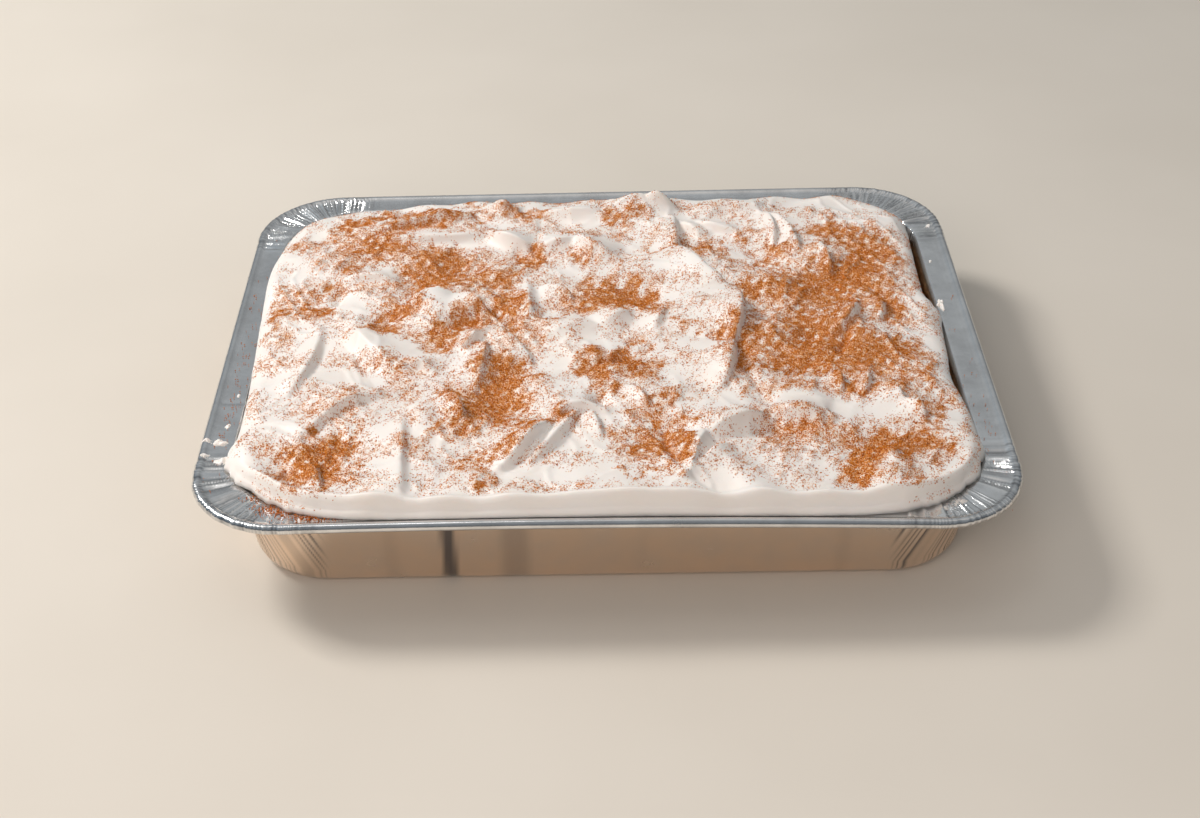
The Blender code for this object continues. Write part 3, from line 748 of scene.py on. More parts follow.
@dataclass
class FoilPan:
    """The foil pan: a flat flange inside a curled rim, sloping walls and a flat base."""

    length: float = 324.0
    width: float = 264.0
    height: float = 43.0
    rim_radius: float = 38.9
    bead: float = 4.0
    flange: float = 13.5
    flange_drop: float = 1.3
    opening_radius: float = 37.5
    foil: float = 0.7
    wall_draft: float = 5.4
    floor_fillet: float = 8.9
    rim_twist: float = 1.3
    front_bow: float = 3.0
    pleats: tuple[int, int, int, int] = (34, 18, 30, 20)
    pleat_height: float = 1.15
    pleat_width: float = 0.40
    # pleat_shade, rib_shade and wrinkle_shade set the painted shade and painted glints of the folds
    pleat_shade: float = 0.9
    panel_slant: float = 1.2
    ribs: tuple[int, int, int, int] = (46, 40, 44, 40)
    rib_height: float = 0.34
    rib_width: float = 0.9
    rib_jitter: float = 1.4
    rib_shade: float = 0.8
    wrinkles: tuple[int, int, int, int] = (17, 15, 16, 18)
    wrinkle_depth: float = 0.8
    wrinkle_lean: float = 0.25
    wrinkle_end: float = 0.12
    wrinkle_width: float = 0.6
    wrinkle_shade: float = 1.1
    wrinkle_foot: float = 0.35
    turn_in: float = 2.2
    flute_depth: float = 0.3
    flute_pitch: float = 46.0
    crease_place: float = -62.3
    crease_depth: float = 0.5
    crease_width: float = 2.7
    # crease_shade and band_shade set the painted dark reflection at the crease and the painted reflection
    # bands
    crease_shade: float = 0.95
    band_pitch: float = 30.0
    band_shade: float = 0.30
    corner_steps: int = 190
    side_steps: int = 96
    past_corner: float = 0.35
    dent_width: float = 1.3
    dents: tuple[tuple[float, float], ...] = (
        (1.0, -80.0), (1.0, -84.5), (1.0, -92.0), (-1.0, -45.0), (-1.0, -85.0))

    def rim_lift(self, x: Array, y: Array) -> Array:
        """Return how far the handled rim stands above its nominal level.

        Args:
            x: Places along the pan.
            y: Places across the pan, of the same shape.

        Returns:
            The lift at each place.
        """
        across = np.clip(x / (self.length / 2), -1.0, 1.0)
        deep = y / (self.width / 2)
        bowed = self.front_bow * (1.0 - across ** 2) * eased(-2.0 * deep - 0.9)
        return self.rim_twist * across * deep + bowed

    def rim_turn(self, points: Array) -> tuple[Array, Array]:
        """Return how far round its corner each point is, square to the rim, and which corner it is in.

        Args:
            points: Places in plan.

        Returns:
            The turn, 0 where the corner meets the pan's end and 1 where it meets the pan's side, and the
            corner's number.
        """
        out_x = np.abs(points[:, 0]) - (self.length / 2 - self.rim_radius)
        out_y = np.abs(points[:, 1]) - (self.width / 2 - self.rim_radius)
        angle = np.arctan2(np.maximum(out_y, 0.0), np.maximum(out_x, 1e-6))
        beyond = np.where(out_x < 0.0, -out_x, 0.0) - np.where(out_y < 0.0, -out_y, 0.0)
        turn = angle / (math.pi / 2) + beyond / (self.rim_radius * math.pi / 2)
        return turn, (points[:, 0] < 0.0) * 2 + (points[:, 1] < 0.0) * 1

    def gather(self, turn: Array) -> Array:
        """Return how gathered the foil is: 1 in a corner, fading out along the pan's sides."""
        return 1.0 - eased(np.maximum(-turn, turn - 1.0) / self.past_corner)

    def folds(self, turn: Array, corner: Array, counts: tuple[int, int, int, int], seed: int,
              width: float, jitter: float = 0.8) -> tuple[Array, Array]:
        """Return uneven folds round the corners, and the lie of the panels between them.

        Args:
            turn: How far round its corner each point is.
            corner: Which corner each point is in.
            counts: How many folds each corner has.
            seed: The draw of their widths and heights.
            width: The share of its pitch that a fold takes up.
            jitter: How uneven their pitch is.

        Returns:
            The fold's height, up to 1 and below 0 where it is a groove, and the panel's slant.
        """
        draw = random.Random(seed)
        most = 2 * max(counts) + 4
        heights = np.array([[draw.uniform(0.2, 1.0) * draw.choice((1.0, 1.0, -0.7)) for _ in range(most)]
                            for _ in range(4)])
        slants = np.array([[draw.uniform(-1.0, 1.0) for _ in range(most)] for _ in range(4)])
        shifts = np.array([draw.uniform(0.0, math.tau) for _ in range(4)])[corner]
        within = np.clip(turn, -self.past_corner, 1.0 + self.past_corner)
        wander = np.sin(within * 9.0 + shifts) + 0.6 * np.sin(within * 23.0 + 2.0 * shifts)
        phase = (within + self.past_corner) * np.array(counts)[corner] + jitter * wander + 2.0
        crest_number = np.clip(np.round(phase).astype(int), 0, most - 1)
        panel_number = np.clip(np.floor(phase).astype(int), 0, most - 1)
        crest = eased(1.0 - 2.0 * np.abs(phase - np.round(phase)) / width)
        panel = (phase - np.floor(phase) - 0.5) * slants[corner, panel_number] * (1.0 - crest)
        gather = self.gather(turn)
        return heights[corner, crest_number] * crest * gather, panel * gather

    def ring(self, inset: float, level: float, share: float, pleat: float = 0.0, rib: float = 0.0,
             wrinkle: float = 0.0, lift: float = 1.0, dent: float = 0.0, sunk: float = 0.0) -> Array:
        """Return one closed ring of the pan.

        Args:
            inset: How far it is inside the rim's outline.
            level: Its height.
            share: How far its corners are from the rim's radius to the opening's.
            pleat: The height of its pleats.
            rib: The depth of its ribs.
            wrinkle: The depth of its wrinkles.
            lift: The share of the rim's handling marks.
            dent: The depth of its cross dents.
            sunk: How far down the wall it is, from 0 at the top to 1.

        Returns:
            Its points, and in a fourth column the painted shade (-1) or painted glint (1) of its folds.
        """
        concentric = self.rim_radius - inset
        radius = max(concentric + (self.opening_radius - self.rim_radius + self.flange) * share, 3.0)
        outline = Outline.rounded(
            self.length / 2 - inset, self.width / 2 - inset, radius, self.corner_steps, self.side_steps,
            self.past_corner)
        turn, corner = self.rim_turn(outline.points)
        ribbed, _ = self.folds(turn, corner, self.ribs, SEED + 7, self.rib_width, self.rib_jitter)
        pleated, panels = self.folds(turn, corner, self.pleats, SEED + 8, self.pleat_width)
        round_wall = np.where(outline.corner % 2 == 0, 1.0 - outline.place, outline.place)
        leaning = round_wall - self.wrinkle_lean * sunk
        creased, slabs = self.folds(
            leaning, outline.corner, self.wrinkles, SEED + 9, self.wrinkle_width)
        within = eased(np.minimum(round_wall, 1.0 - round_wall) / self.wrinkle_end + 0.4)
        creased, slabs = creased * within, slabs * within
        straight = 1.0 - self.gather(round_wall)
        push = rib * (ribbed - 0.5 * self.gather(turn)) - wrinkle * (np.abs(creased) + 0.5 * slabs)
        push = push - wrinkle / self.wrinkle_depth * straight * self.dressed(outline)
        points = outline.points + outline.normals * push[:, None]
        x, y = points[:, 0], points[:, 1]
        z = level + pleat * (pleated + self.panel_slant * panels) + lift * self.rim_lift(x, y)
        for side, place in self.dents:
            on_flange = eased((x * side - self.length / 2 + self.flange + 2.0) / 2.0)
            z = z - dent * (np.exp(-((y - place) / self.dent_width) ** 2) * on_flange)
        # Painted shade in the grooves of pleats and ribs and painted glints on their crests; on the walls,
        # painted shade in the wrinkles and painted reflection bands.
        on_pleats = (pleat > 0.0) * (self.pleat_shade * pleated + self.pleat_shade * panels)
        on_ribs = (rib > 0.0) * self.rib_shade * (ribbed - 0.3 * self.gather(turn))
        fold = on_pleats + on_ribs
        if wrinkle > 0.0:
            on_wall = self.bands(outline)
            fold = fold - self.wrinkle_shade * np.abs(creased) + 0.5 * slabs + straight * on_wall
        return np.column_stack([x, y, z, np.clip(fold, -1.0, 1.0)])

    def bands(self, outline: Outline) -> Array:
        """Return the painted reflection on the walls: faint upright bands of painted shade, and one dark
        painted reflection at the sharp crease.

        Args:
            outline: The ring's outline.

        Returns:
            The painted shade at each point, below 0 where it is darker.
        """
        x, y = outline.points[:, 0], outline.points[:, 1]
        along = np.where(np.abs(outline.normals[:, 0]) > 0.5, y, x)
        soft = ripple(along, 0.0 * along, self.band_pitch, SEED + 13, 6)
        front = outline.normals[:, 1] < -0.5
        crease = np.exp(-((x - self.crease_place) / self.crease_width) ** 6) * front
        return -self.band_shade * eased(soft - 0.4) - self.crease_shade * crease

    def dressed(self, outline: Outline) -> Array:
        """Return the depth of the walls' soft upright flutes and of the one sharp crease at the front.

        Args:
            outline: The ring's outline.

        Returns:
            The depth at each point.
        """
        x, y = outline.points[:, 0], outline.points[:, 1]
        along = np.where(np.abs(outline.normals[:, 0]) > 0.5, y, x)
        wave = ripple(along, 0.0 * along, self.flute_pitch, SEED + 12, 5)
        flutes = self.flute_depth * (0.5 + 0.5 * wave / 1.6)
        front = outline.normals[:, 1] < -0.5
        crease = np.exp(-((x - self.crease_place) / self.crease_width) ** 2) * front
        return flutes + self.crease_depth * crease

    def wall(self, inner: bool) -> list[Array]:
        """Return the wall's rings from the base up, on its inner or outer face.

        Args:
            inner: Whether they are on the inner face.

        Returns:
            The rings.
        """
        thickness = self.foil if inner else 0.0
        rings = []
        top = self.height - self.flange_drop
        for degrees in range(0, 91, 30 if inner else 15):
            angle = math.radians(degrees)
            inset = self.flange + self.wall_draft + self.floor_fillet * (1.0 - math.sin(angle)) + thickness
            level = self.floor_fillet * (1.0 - math.cos(angle)) + thickness
            depth = self.wrinkle_foot * self.wrinkle_depth * degrees / 90
            rings.append(self.ring(inset, level, 1.0, wrinkle=depth, lift=0.0, sunk=1.0))
        steps = 6 if inner else 25
        for step in range(1, steps):
            share = step / steps
            inset = self.flange + self.wall_draft * (1.0 - share) + thickness
            level = self.floor_fillet + thickness + (top - self.turn_in - self.floor_fillet) * share
            depth = self.wrinkle_depth * (self.wrinkle_foot + (1.0 - self.wrinkle_foot) * share)
            rings.append(self.ring(inset, level, 1.0, wrinkle=depth, lift=share ** 2, sunk=1.0 - share))
        return rings

    def rings(self) -> list[Array]:
        """Return the rings from the middle of the underside over the rim to the inner floor.

        Returns:
            The rings.
        """
        flange = self.height - self.flange_drop
        radius = self.bead / 2
        rings = [self.ring(60.0, 0.0, 1.0, lift=0.0)]
        rings.extend(self.wall(False))
        rings.append(self.ring(self.flange, flange - self.foil - 0.9, 1.0, wrinkle=self.wrinkle_depth * 0.5))
        rings.append(self.ring(self.flange - 0.8, flange - self.foil, 1.0, pleat=self.pleat_height * 0.4))
        start = self.flange - 0.3
        across = [start - (start - self.bead - 0.4) * step / 10 for step in range(11)]

        def flat(level: float, insets: list[float]) -> list[Array]:
            """Return the flange's rings at a level.

            Args:
                level: The level of the flange's face.
                insets: How far each ring is inside the rim.

            Returns:
                The rings.
            """
            made = []
            for inset in insets:
                middle = math.sin(math.pi * (self.flange - inset) / (self.flange - self.bead + 1.0))
                beside = math.exp(-((inset - self.bead - 1.2) / 0.5) ** 2) * 0.18
                share = (inset - self.bead) / (self.flange - self.bead)
                made.append(self.ring(inset, level + beside, share, dent=0.35,
                                      pleat=self.pleat_height * (0.35 + 0.65 * max(middle, 0.0))))
            return made

        rings.extend(flat(flange - self.foil, across[2::4]))
        for degrees in range(215, 500, 19):
            angle = math.radians(degrees)
            inset = radius - radius * math.cos(angle)
            level = self.height - radius + radius * math.sin(angle)
            rings.append(self.ring(inset, level, 0.0, rib=self.rib_height, dent=0.15))
        rings.extend(flat(flange, across[::-1]))
        rings.append(self.ring(self.flange + 0.3, flange - 0.4, 1.0, wrinkle=self.wrinkle_depth * 0.3))
        rings.append(self.ring(self.flange + self.foil, flange - 1.4, 1.0, wrinkle=self.wrinkle_depth * 0.6))
        rings.extend(reversed(self.wall(True)))
        return rings

    def inside(self, level: float) -> tuple[float, float, float]:
        """Return the half sizes and corner radius of the pan's inside at a level.

        Args:
            level: The height above the floor.

        Returns:
            Half the length, half the width and the radius.
        """
        top = self.height - self.flange_drop
        share = min(max((top - level) / top, 0.0), 1.0)
        inset = self.flange + self.foil + self.wall_draft * share
        return self.length / 2 - inset, self.width / 2 - inset, self.opening_radius - self.wall_draft * share

    def build(self) -> bpy.types.Object:
        """Make the pan, which replaces the plain one.

        Returns:
            The new object.
        """
        rings = self.rings()
        middles = np.array([[0.0, 0.0, 0.0, 0.0], [0.0, 0.0, self.foil, 0.0]])
        shaded = np.vstack(rings + [middles])
        faces = stack_faces(len(rings), len(rings[0]))
        pan = add_piece("pan_foil", shaded[:, :3], faces, FoilFinish().material())
        # fold carries each point's painted shade and painted glint for the foil's colour
        fold = pan.data.attributes.new("fold", "FLOAT", "POINT")
        fold.data.foreach_set("value", shaded[:, 3].astype(np.float32))
        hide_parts("foil_pan")
        return pan


@dataclass
class Sponge:
    """The soaked sponge, which shows only where the cream stops short of the pan."""

    pan: FoilPan
    top: float = 37.0
    clearance: float = 1.1
    pit: float = 0.35
    crumb: float = 5.0
    corner_steps: int = 60
    side_steps: int = 110

    def build(self) -> bpy.types.Object:
        """Make the sponge, which replaces the plain one.

        Returns:
            The new object.
        """
        rings = []
        fillet = self.pan.floor_fillet
        for degrees in range(0, 100, 15):
            angle = math.radians(degrees)
            half_x, half_y, radius = self.pan.inside(0.0)
            inset = fillet * (1.0 - math.sin(angle)) + self.clearance
            level = fillet * (1.0 - math.cos(angle)) + self.pan.foil + 0.3
            rings.append((half_x - inset, half_y - inset, radius - inset, level))
        half_x, half_y, radius = self.pan.inside(self.top)
        for inset, level in ((0.0, self.top - 4.0), (0.0, self.top - 2.0), (0.3, self.top - 1.0),
                             (0.9, self.top - 0.3), (2.0, self.top), (5.0, self.top), (12.0, self.top)):
            gap = self.clearance + inset
            rings.append((half_x - gap, half_y - gap, radius - gap, level))
        points = []
        for size_x, size_y, corner, level in rings:
            outline = Outline.rounded(size_x, size_y, corner, self.corner_steps, self.side_steps)
            along, deep = outline.points[:, 0], outline.points[:, 1] + level * 3.0
            pitted = self.pit * np.abs(ripple(along, deep, self.crumb, SEED + 20))
            spot = outline.points - outline.normals * pitted[:, None]
            points.append(np.column_stack([spot, np.full(len(spot), level) - 0.5 * pitted * (level > 30.0)]))
        middles = np.array([[0.0, 0.0, rings[0][3]], [0.0, 0.0, self.top]])
        faces = stack_faces(len(points), len(points[0]))
        stack = np.vstack(points + [middles])
        sponge = add_piece("sponge_soaked", stack, faces, SpongeFinish().material())
        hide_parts("sponge_cake")
        return sponge


@dataclass
class CreamTopping:
    """The whipped cream, spooned into ridges and hollows and pulled over the rim at the front."""

    pan: FoilPan
    sponge: Sponge
    level: float = 7.0
    crest: float = 0.25
    roll: float = 7.0
    lift: float = 0.5
    undercut: float = 0.1
    lean: float = 1.5
    pleat: float = 0.55
    tear: float = 0.7
    front_reach: float = 9.8
    lip: float = 4.0
    lip_rise: float = 1.2
    lip_band: float = 0.42
    lip_width: float = 1.8
    crowding: float = 1.25
    relief_start: float = 1.5
    relief_run: float = 9.0
    edge_run: float = 40.0
    sharpness: float = 3.0
    usual_rise: float = 7.0
    lean_reach: float = 2.2
    end_reach: float = 4.0
    end_share: float = 0.45
    warp: float = 7.0
    warp_pitch: float = 46.0
    fold_pitch: float = 30.0
    fold_width: float = 0.28
    fold_rise: float = 1.8
    ragged: float = 2.5
    ragged_pitch: float = 13.0
    thin_dust: float = 0.10
    drift: float = 0.09
    drift_pitch: float = 24.0
    fleck: float = 0.04
    fleck_pitch: float = 9.0
    patch_gain: float = 0.95
    patch_falloff: float = 1.2
    clumping: float = 0.30
    clump_pitch: float = 4.5
    bare_edge: float = 5.0
    most_dust: float = 1.3
    columns: int = 408
    rows: int = 332
    points: Array = field(default_factory=lambda: np.zeros((0, 3)))
    faces: Array = field(default_factory=lambda: np.zeros((0, 4), dtype=int))

    def opening(self, across: Array, deep: Array) -> tuple[Array, Array, Array, Array]:
        """Return the opening's outline and its outward normals for points on a square's rim.

        Args:
            across: The points' places along the square, -1 to 1.
            deep: The points' places across the square, -1 to 1.

        Returns:
            The places along and across the pan, and the normals along both.
        """
        half_x = self.pan.length / 2 - self.pan.flange - self.pan.foil
        half_y = self.pan.width / 2 - self.pan.flange - self.pan.foil
        radius = self.pan.opening_radius
        on_side = np.abs(across) >= np.abs(deep)
        place = np.where(on_side, deep, across)
        run = np.where(on_side, half_y, half_x) - radius
        travelled = np.abs(place) * (run + radius * math.pi / 4)
        turn = np.clip((travelled - run) / radius, 0.0, None)
        along = np.sign(place) * (np.minimum(travelled, run) + radius * np.sin(turn))
        out = np.where(on_side, half_x, half_y) - radius * (1.0 - np.cos(turn))
        normal_along = np.sign(place) * np.sin(turn)
        normal_out = np.cos(turn)
        sign = np.where(on_side, np.sign(across), np.sign(deep))
        x = np.where(on_side, sign * out, along)
        y = np.where(on_side, along, sign * out)
        normal_x = np.where(on_side, sign * normal_out, normal_along)
        normal_y = np.where(on_side, normal_along, sign * normal_out)
        return x, y, normal_x, normal_y

    def edge(self, bearing: Array) -> tuple[Array, Array]:
        """Return the cream's reach past the opening and its brow height at bearings in degrees.

        Args:
            bearing: The bearings.

        Returns:
            The reach and the brow's height at each bearing.
        """
        angles = [edge.bearing for edge in EDGES]
        reach = np.zeros(np.shape(bearing))
        brow = np.zeros(np.shape(bearing))
        offsets = (-2.0, 0.0, 2.0)
        for offset in offsets:
            reach += np.interp(bearing + offset, angles, [edge.reach for edge in EDGES], period=360.0)
            brow += np.interp(bearing + offset, angles, [edge.brow for edge in EDGES], period=360.0)
        return reach / len(offsets), brow / len(offsets)

    def follow(self, stroke: Ridge | Crease, x: Array, y: Array,
               steps: int = 10) -> tuple[Array, Array, Array]:
        """Return each place's distance to a stroke, its share of the stroke's length, and its side.

        Args:
            stroke: The stroke that is followed.
            x: Places along the pan.
            y: Places across the pan.
            steps: How many straight steps stand for the bowed stroke.

        Returns:
            The distance, the share, and the side: 1 square to the stroke's left and -1 to its right.
        """
        span_x = stroke.x1 - stroke.x0
        span_y = stroke.y1 - stroke.y0
        length = math.hypot(span_x, span_y)
        share = np.linspace(0.0, 1.0, steps + 1)
        sag = stroke.bow * 4.0 * share * (1.0 - share)
        path_x = stroke.x0 + span_x * share - span_y / length * sag
        path_y = stroke.y0 + span_y * share + span_x / length * sag
        nearest = np.full(np.shape(x), np.inf)
        along = np.zeros(np.shape(x))
        side = np.zeros(np.shape(x))
        for step in range(steps):
            run_x = path_x[step + 1] - path_x[step]
            run_y = path_y[step + 1] - path_y[step]
            from_x = x - path_x[step]
            from_y = y - path_y[step]
            here = np.clip((from_x * run_x + from_y * run_y) / (run_x ** 2 + run_y ** 2), 0.0, 1.0)
            distance = np.hypot(from_x - here * run_x, from_y - here * run_y)
            closer = distance < nearest
            nearest = np.where(closer, distance, nearest)
            along = np.where(closer, (step + here) / steps, along)
            square_off = (run_x * from_y - run_y * from_x) / math.hypot(run_x, run_y)
            side = np.where(closer, square_off / np.maximum(distance, 1e-6), side)
        return nearest, along, side

    def strokes(self, x: Array, y: Array) -> tuple[Array, Array, Array]:
        """Return the height that the spoon's work adds, and how far its crests lean along x and y.

        Args:
            x: Places along the pan.
            y: Places across the pan, of the same shape.

        Returns:
            The height, and the lean along and across the pan.
        """
        folded = np.zeros(np.shape(x))
        lean_x = np.zeros(np.shape(x))
        lean_y = np.zeros(np.shape(x))
        for ridge in RIDGES:
            distance, along, side = self.follow(ridge, x, y)
            crest = np.sqrt(distance ** 2 + self.crest ** 2) - self.crest
            right_side = np.exp(-crest / ridge.soft)
            left_side = 1.0 - eased(distance / ridge.steep)
            taper = np.sin(math.pi * np.clip(along, 0.0, 1.0)) ** 0.5
            ends = np.exp(-distance / self.end_reach) * self.end_share
            flank = right_side + (left_side - right_side) * eased(0.5 + 0.5 * side)
            height = ridge.rise * flank * np.maximum(taper, ends)
            folded += np.maximum(height, 0.0) ** self.sharpness
            length = math.hypot(ridge.x1 - ridge.x0, ridge.y1 - ridge.y0)
            near = np.exp(-(distance / self.lean_reach) ** 2)
            pull = self.lean * ridge.rise / self.usual_rise * near * taper
            lean_x -= pull * (ridge.y1 - ridge.y0) / length
            lean_y += pull * (ridge.x1 - ridge.x0) / length
        relief = folded ** (1.0 / self.sharpness)
        for crease in CREASES:
            distance, along, _ = self.follow(crease, x, y)
            relief -= crease.depth * np.exp(-distance / crease.width) * np.sin(math.pi * along) ** 0.5
        for swell in SWELLS:
            cos, sin = math.cos(math.radians(swell.heading)), math.sin(math.radians(swell.heading))
            from_x, from_y = x - swell.x, y - swell.y
            along = (from_x * cos + from_y * sin) / swell.along
            across = (from_y * cos - from_x * sin) / swell.across
            relief += swell.rise * np.exp(-(along ** 2 + across ** 2))
        return relief, lean_x, lean_y

    def small_folds(self, x: Array, y: Array) -> Array:
        """Return the lesser folds between the main strokes, as sharp crests on a warped wave.

        Args:
            x: Places along the pan.
            y: Places across the pan, of the same shape.

        Returns:
            The height that they add.
        """
        warp_x = x + self.warp * ripple(x, y, self.warp_pitch, SEED)
        warp_y = y + self.warp * ripple(x, y, self.warp_pitch, SEED + 1)
        wave = ripple(warp_x, warp_y, self.fold_pitch, SEED + 2)
        crests = np.exp(-np.abs(wave) / self.fold_width)
        fine = ripple(x + 2.0 * wave, y - 2.0 * wave, 7.5, SEED + 30)
        return self.fold_rise * crests + 0.8 * ripple(x, y, 38.0, SEED + 3) + 0.08 * fine

    @staticmethod
    def quarter_round(share: Array) -> Array:
        """Return the height of a quarter circle, from 0 at its foot to 1 at its top."""
        return np.sqrt(1.0 - (1.0 - np.clip(share, 0.0, 1.0)) ** 2)

    def surface(self) -> Array:
        """Return the cream's upper surface as a grid of points.

        Returns:
            The points, row by row from the front.
        """
        spread_x = np.linspace(-1.0, 1.0, self.columns + 1)
        spread_y = np.linspace(-1.0, 1.0, self.rows + 1)
        across, deep = np.meshgrid(spread_x, spread_y)
        square = np.maximum(np.abs(across), np.abs(deep))
        middle = square < 1e-6
        shrink = np.where(middle, 1.0, square)
        on_rim = np.where(middle, 1.0, across / shrink)
        edge_x, edge_y, normal_x, normal_y = self.opening(on_rim, deep / shrink)
        reach, brow = self.edge(np.degrees(np.arctan2(edge_y, edge_x)) % 360.0)
        edge_x = edge_x + normal_x * reach
        edge_y = edge_y + normal_y * reach
        ring = 1.0 - (1.0 - square) ** self.crowding
        x = edge_x * ring
        y = edge_y * ring
        inward = (1.0 - ring) * (edge_x * normal_x + edge_y * normal_y)
        inner = eased((inward - self.relief_start) / self.relief_run)
        relief, lean_x, lean_y = self.strokes(x, y)
        smoothed = 0.4 + 0.6 * eased(self.dust(x, y) / 0.5)
        relief = evened(relief + self.small_folds(x, y) * smoothed)
        brow = brow + 0.8 * ripple(edge_x, edge_y, 34.0, SEED + 4)
        level = brow + (self.level - brow) * eased(inward / self.edge_run) + relief * inner
        foot = self.lift + self.pleat * np.abs(2.0 * normal_x * normal_y) - self.pan.flange_drop
        front = eased(-2.0 * normal_y - 0.6)
        across_roll = inward / (self.roll + (self.lip - self.roll) * front)
        plain = self.quarter_round(across_roll)
        stepped = self.lip_band * self.quarter_round(across_roll / 0.5)
        stepped = stepped + (1.0 - self.lip_band) * self.quarter_round((across_roll - 0.4) / 0.6)
        roll = plain + (stepped - plain) * front
        corner = eased(3.0 * np.abs(normal_x * normal_y) + 0.2)
        torn = 0.7 * ripple(edge_x, edge_y, 14.0, SEED + 5) + 0.3 * ripple(edge_x, edge_y, 4.5, SEED + 6)
        torn = self.tear * corner * torn * np.clip(1.0 - roll, 0.0, 1.0) ** 1.5
        x, y = x + normal_x * torn, y + normal_y * torn
        level = level + self.lip_rise * front * np.exp(-((inward - self.lip) / self.lip_width) ** 2)
        settled = self.pan.rim_lift(x, y) * (1.0 - eased(inward / self.edge_run))
        z = self.pan.height + foot + (level - foot) * roll + settled
        return np.stack([x + lean_x * inner, y + lean_y * inner, z], axis=-1)

    def border(self) -> Array:
        """Return the point numbers round the surface's edge, counter-clockwise.

        Returns:
            The numbers.
        """
        width = self.columns + 1
        front = np.arange(self.columns)
        right = np.arange(self.rows) * width + self.columns
        back = self.rows * width + np.arange(self.columns, 0, -1)
        left = np.arange(self.rows, 0, -1) * width
        return np.concatenate([front, right, back, left])

    def drawn_in(self, x: Array, y: Array, inset: float) -> tuple[Array, Array]:
        """Return points moved inwards until they are clear of the pan's inner wall.

        Args:
            x: Places along the pan.
            y: Places across the pan, of the same shape.
            inset: How far inside the opening they have to be.

        Returns:
            The moved places.
        """
        half_x = self.pan.length / 2 - self.pan.flange - self.pan.foil - inset
        half_y = self.pan.width / 2 - self.pan.flange - self.pan.foil - inset
        radius = self.pan.opening_radius - inset
        from_x = np.maximum(np.abs(x) - (half_x - radius), 0.0)
        from_y = np.maximum(np.abs(y) - (half_y - radius), 0.0)
        reach = np.hypot(from_x, from_y)
        shrink = np.where(reach > radius, radius / np.maximum(reach, 1e-9), 1.0)
        inner_x = np.minimum(np.abs(x), half_x - radius) + from_x * shrink
        inner_y = np.minimum(np.abs(y), half_y - radius) + from_y * shrink
        return np.copysign(inner_x, x), np.copysign(inner_y, y)

    def dust(self, x: Array, y: Array) -> Array:
        """Return how much cinnamon fell at each place, 1 being a dense patch.

        Args:
            x: Places along the pan.
            y: Places across the pan, of the same shape.

        Returns:
            The amount, from 0 up.
        """
        ragged_x = x + self.ragged * ripple(x, y, self.ragged_pitch, SEED + 40)
        ragged_y = y + self.ragged * ripple(x, y, self.ragged_pitch, SEED + 41)
        drifted = self.drift * ripple(x, y, self.drift_pitch, SEED + 42)
        flecked = self.fleck * ripple(x, y, self.fleck_pitch, SEED + 43)
        fallen = self.thin_dust + drifted + flecked
        for patch in DUSTINGS:
            cos, sin = math.cos(math.radians(patch.heading)), math.sin(math.radians(patch.heading))
            from_x, from_y = ragged_x - patch.x, ragged_y - patch.y
            along = (from_x * cos + from_y * sin) / patch.along
            across = (from_y * cos - from_x * sin) / patch.across
            thinned = np.exp(-self.patch_falloff * (along ** 2 + across ** 2))
            fallen = fallen + self.patch_gain * patch.amount * thinned
        fallen = fallen * (1.0 + self.clumping * ripple(x, y, self.clump_pitch, SEED + 44))
        half_x = self.pan.length / 2 - self.pan.flange
        half_y = self.pan.width / 2 - self.pan.flange
        from_side = np.minimum(half_x - np.abs(x), half_y - y)
        from_front = half_y + self.front_reach + y
        at_sides = eased((from_side + 0.5) / self.bare_edge)
        at_front = eased((from_front - 4.0) / self.bare_edge)
        return np.clip(fallen, 0.0, self.most_dust) * at_sides * at_front

    def build(self) -> bpy.types.Object:
        """Make the cream, which replaces the plain one.

        Returns:
            The new object.
        """
        grid = self.surface()
        upper = grid.reshape(-1, 3)
        border = self.border()
        half_x, _, _ = self.pan.inside(self.sponge.top)
        neck = self.pan.length / 2 - self.pan.flange - self.pan.foil - half_x
        points = [upper]
        faces = [grid_faces(self.rows + 1, self.columns + 1)]
        above = border
        count = len(border)
        after = (np.arange(count) + 1) % count
        for inset, low in ((0.9, None), (0.9 + neck, self.sponge.top + 0.3)):
            x, y = self.drawn_in(upper[border, 0], upper[border, 1], inset)
            z = upper[border, 2] - self.undercut if low is None else np.full(count, low)
            below = sum(len(part) for part in points) + np.arange(count)
            points.append(np.column_stack([x, y, z]))
            faces.append(np.stack([below, below[after], above[after], above], axis=-1))
            above = below
        self.points = np.vstack(points)
        self.faces = np.vstack(faces)
        cream = add_piece("cream_topping", self.points, self.faces, CreamFinish().material())
        normals = np.zeros(self.points.size, dtype=np.float32)
        cream.data.vertices.foreach_get("normal", normals)
        caught = eased((normals.reshape(-1, 3)[:, 2] - 0.25) / 0.5)
        fallen = self.dust(self.points[:, 0], self.points[:, 1]) * caught
        dust = cream.data.attributes.new("dust", "FLOAT", "POINT")
        dust.data.foreach_set("value", fallen.astype(np.float32))
        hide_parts("whipped_cream")
        return cream


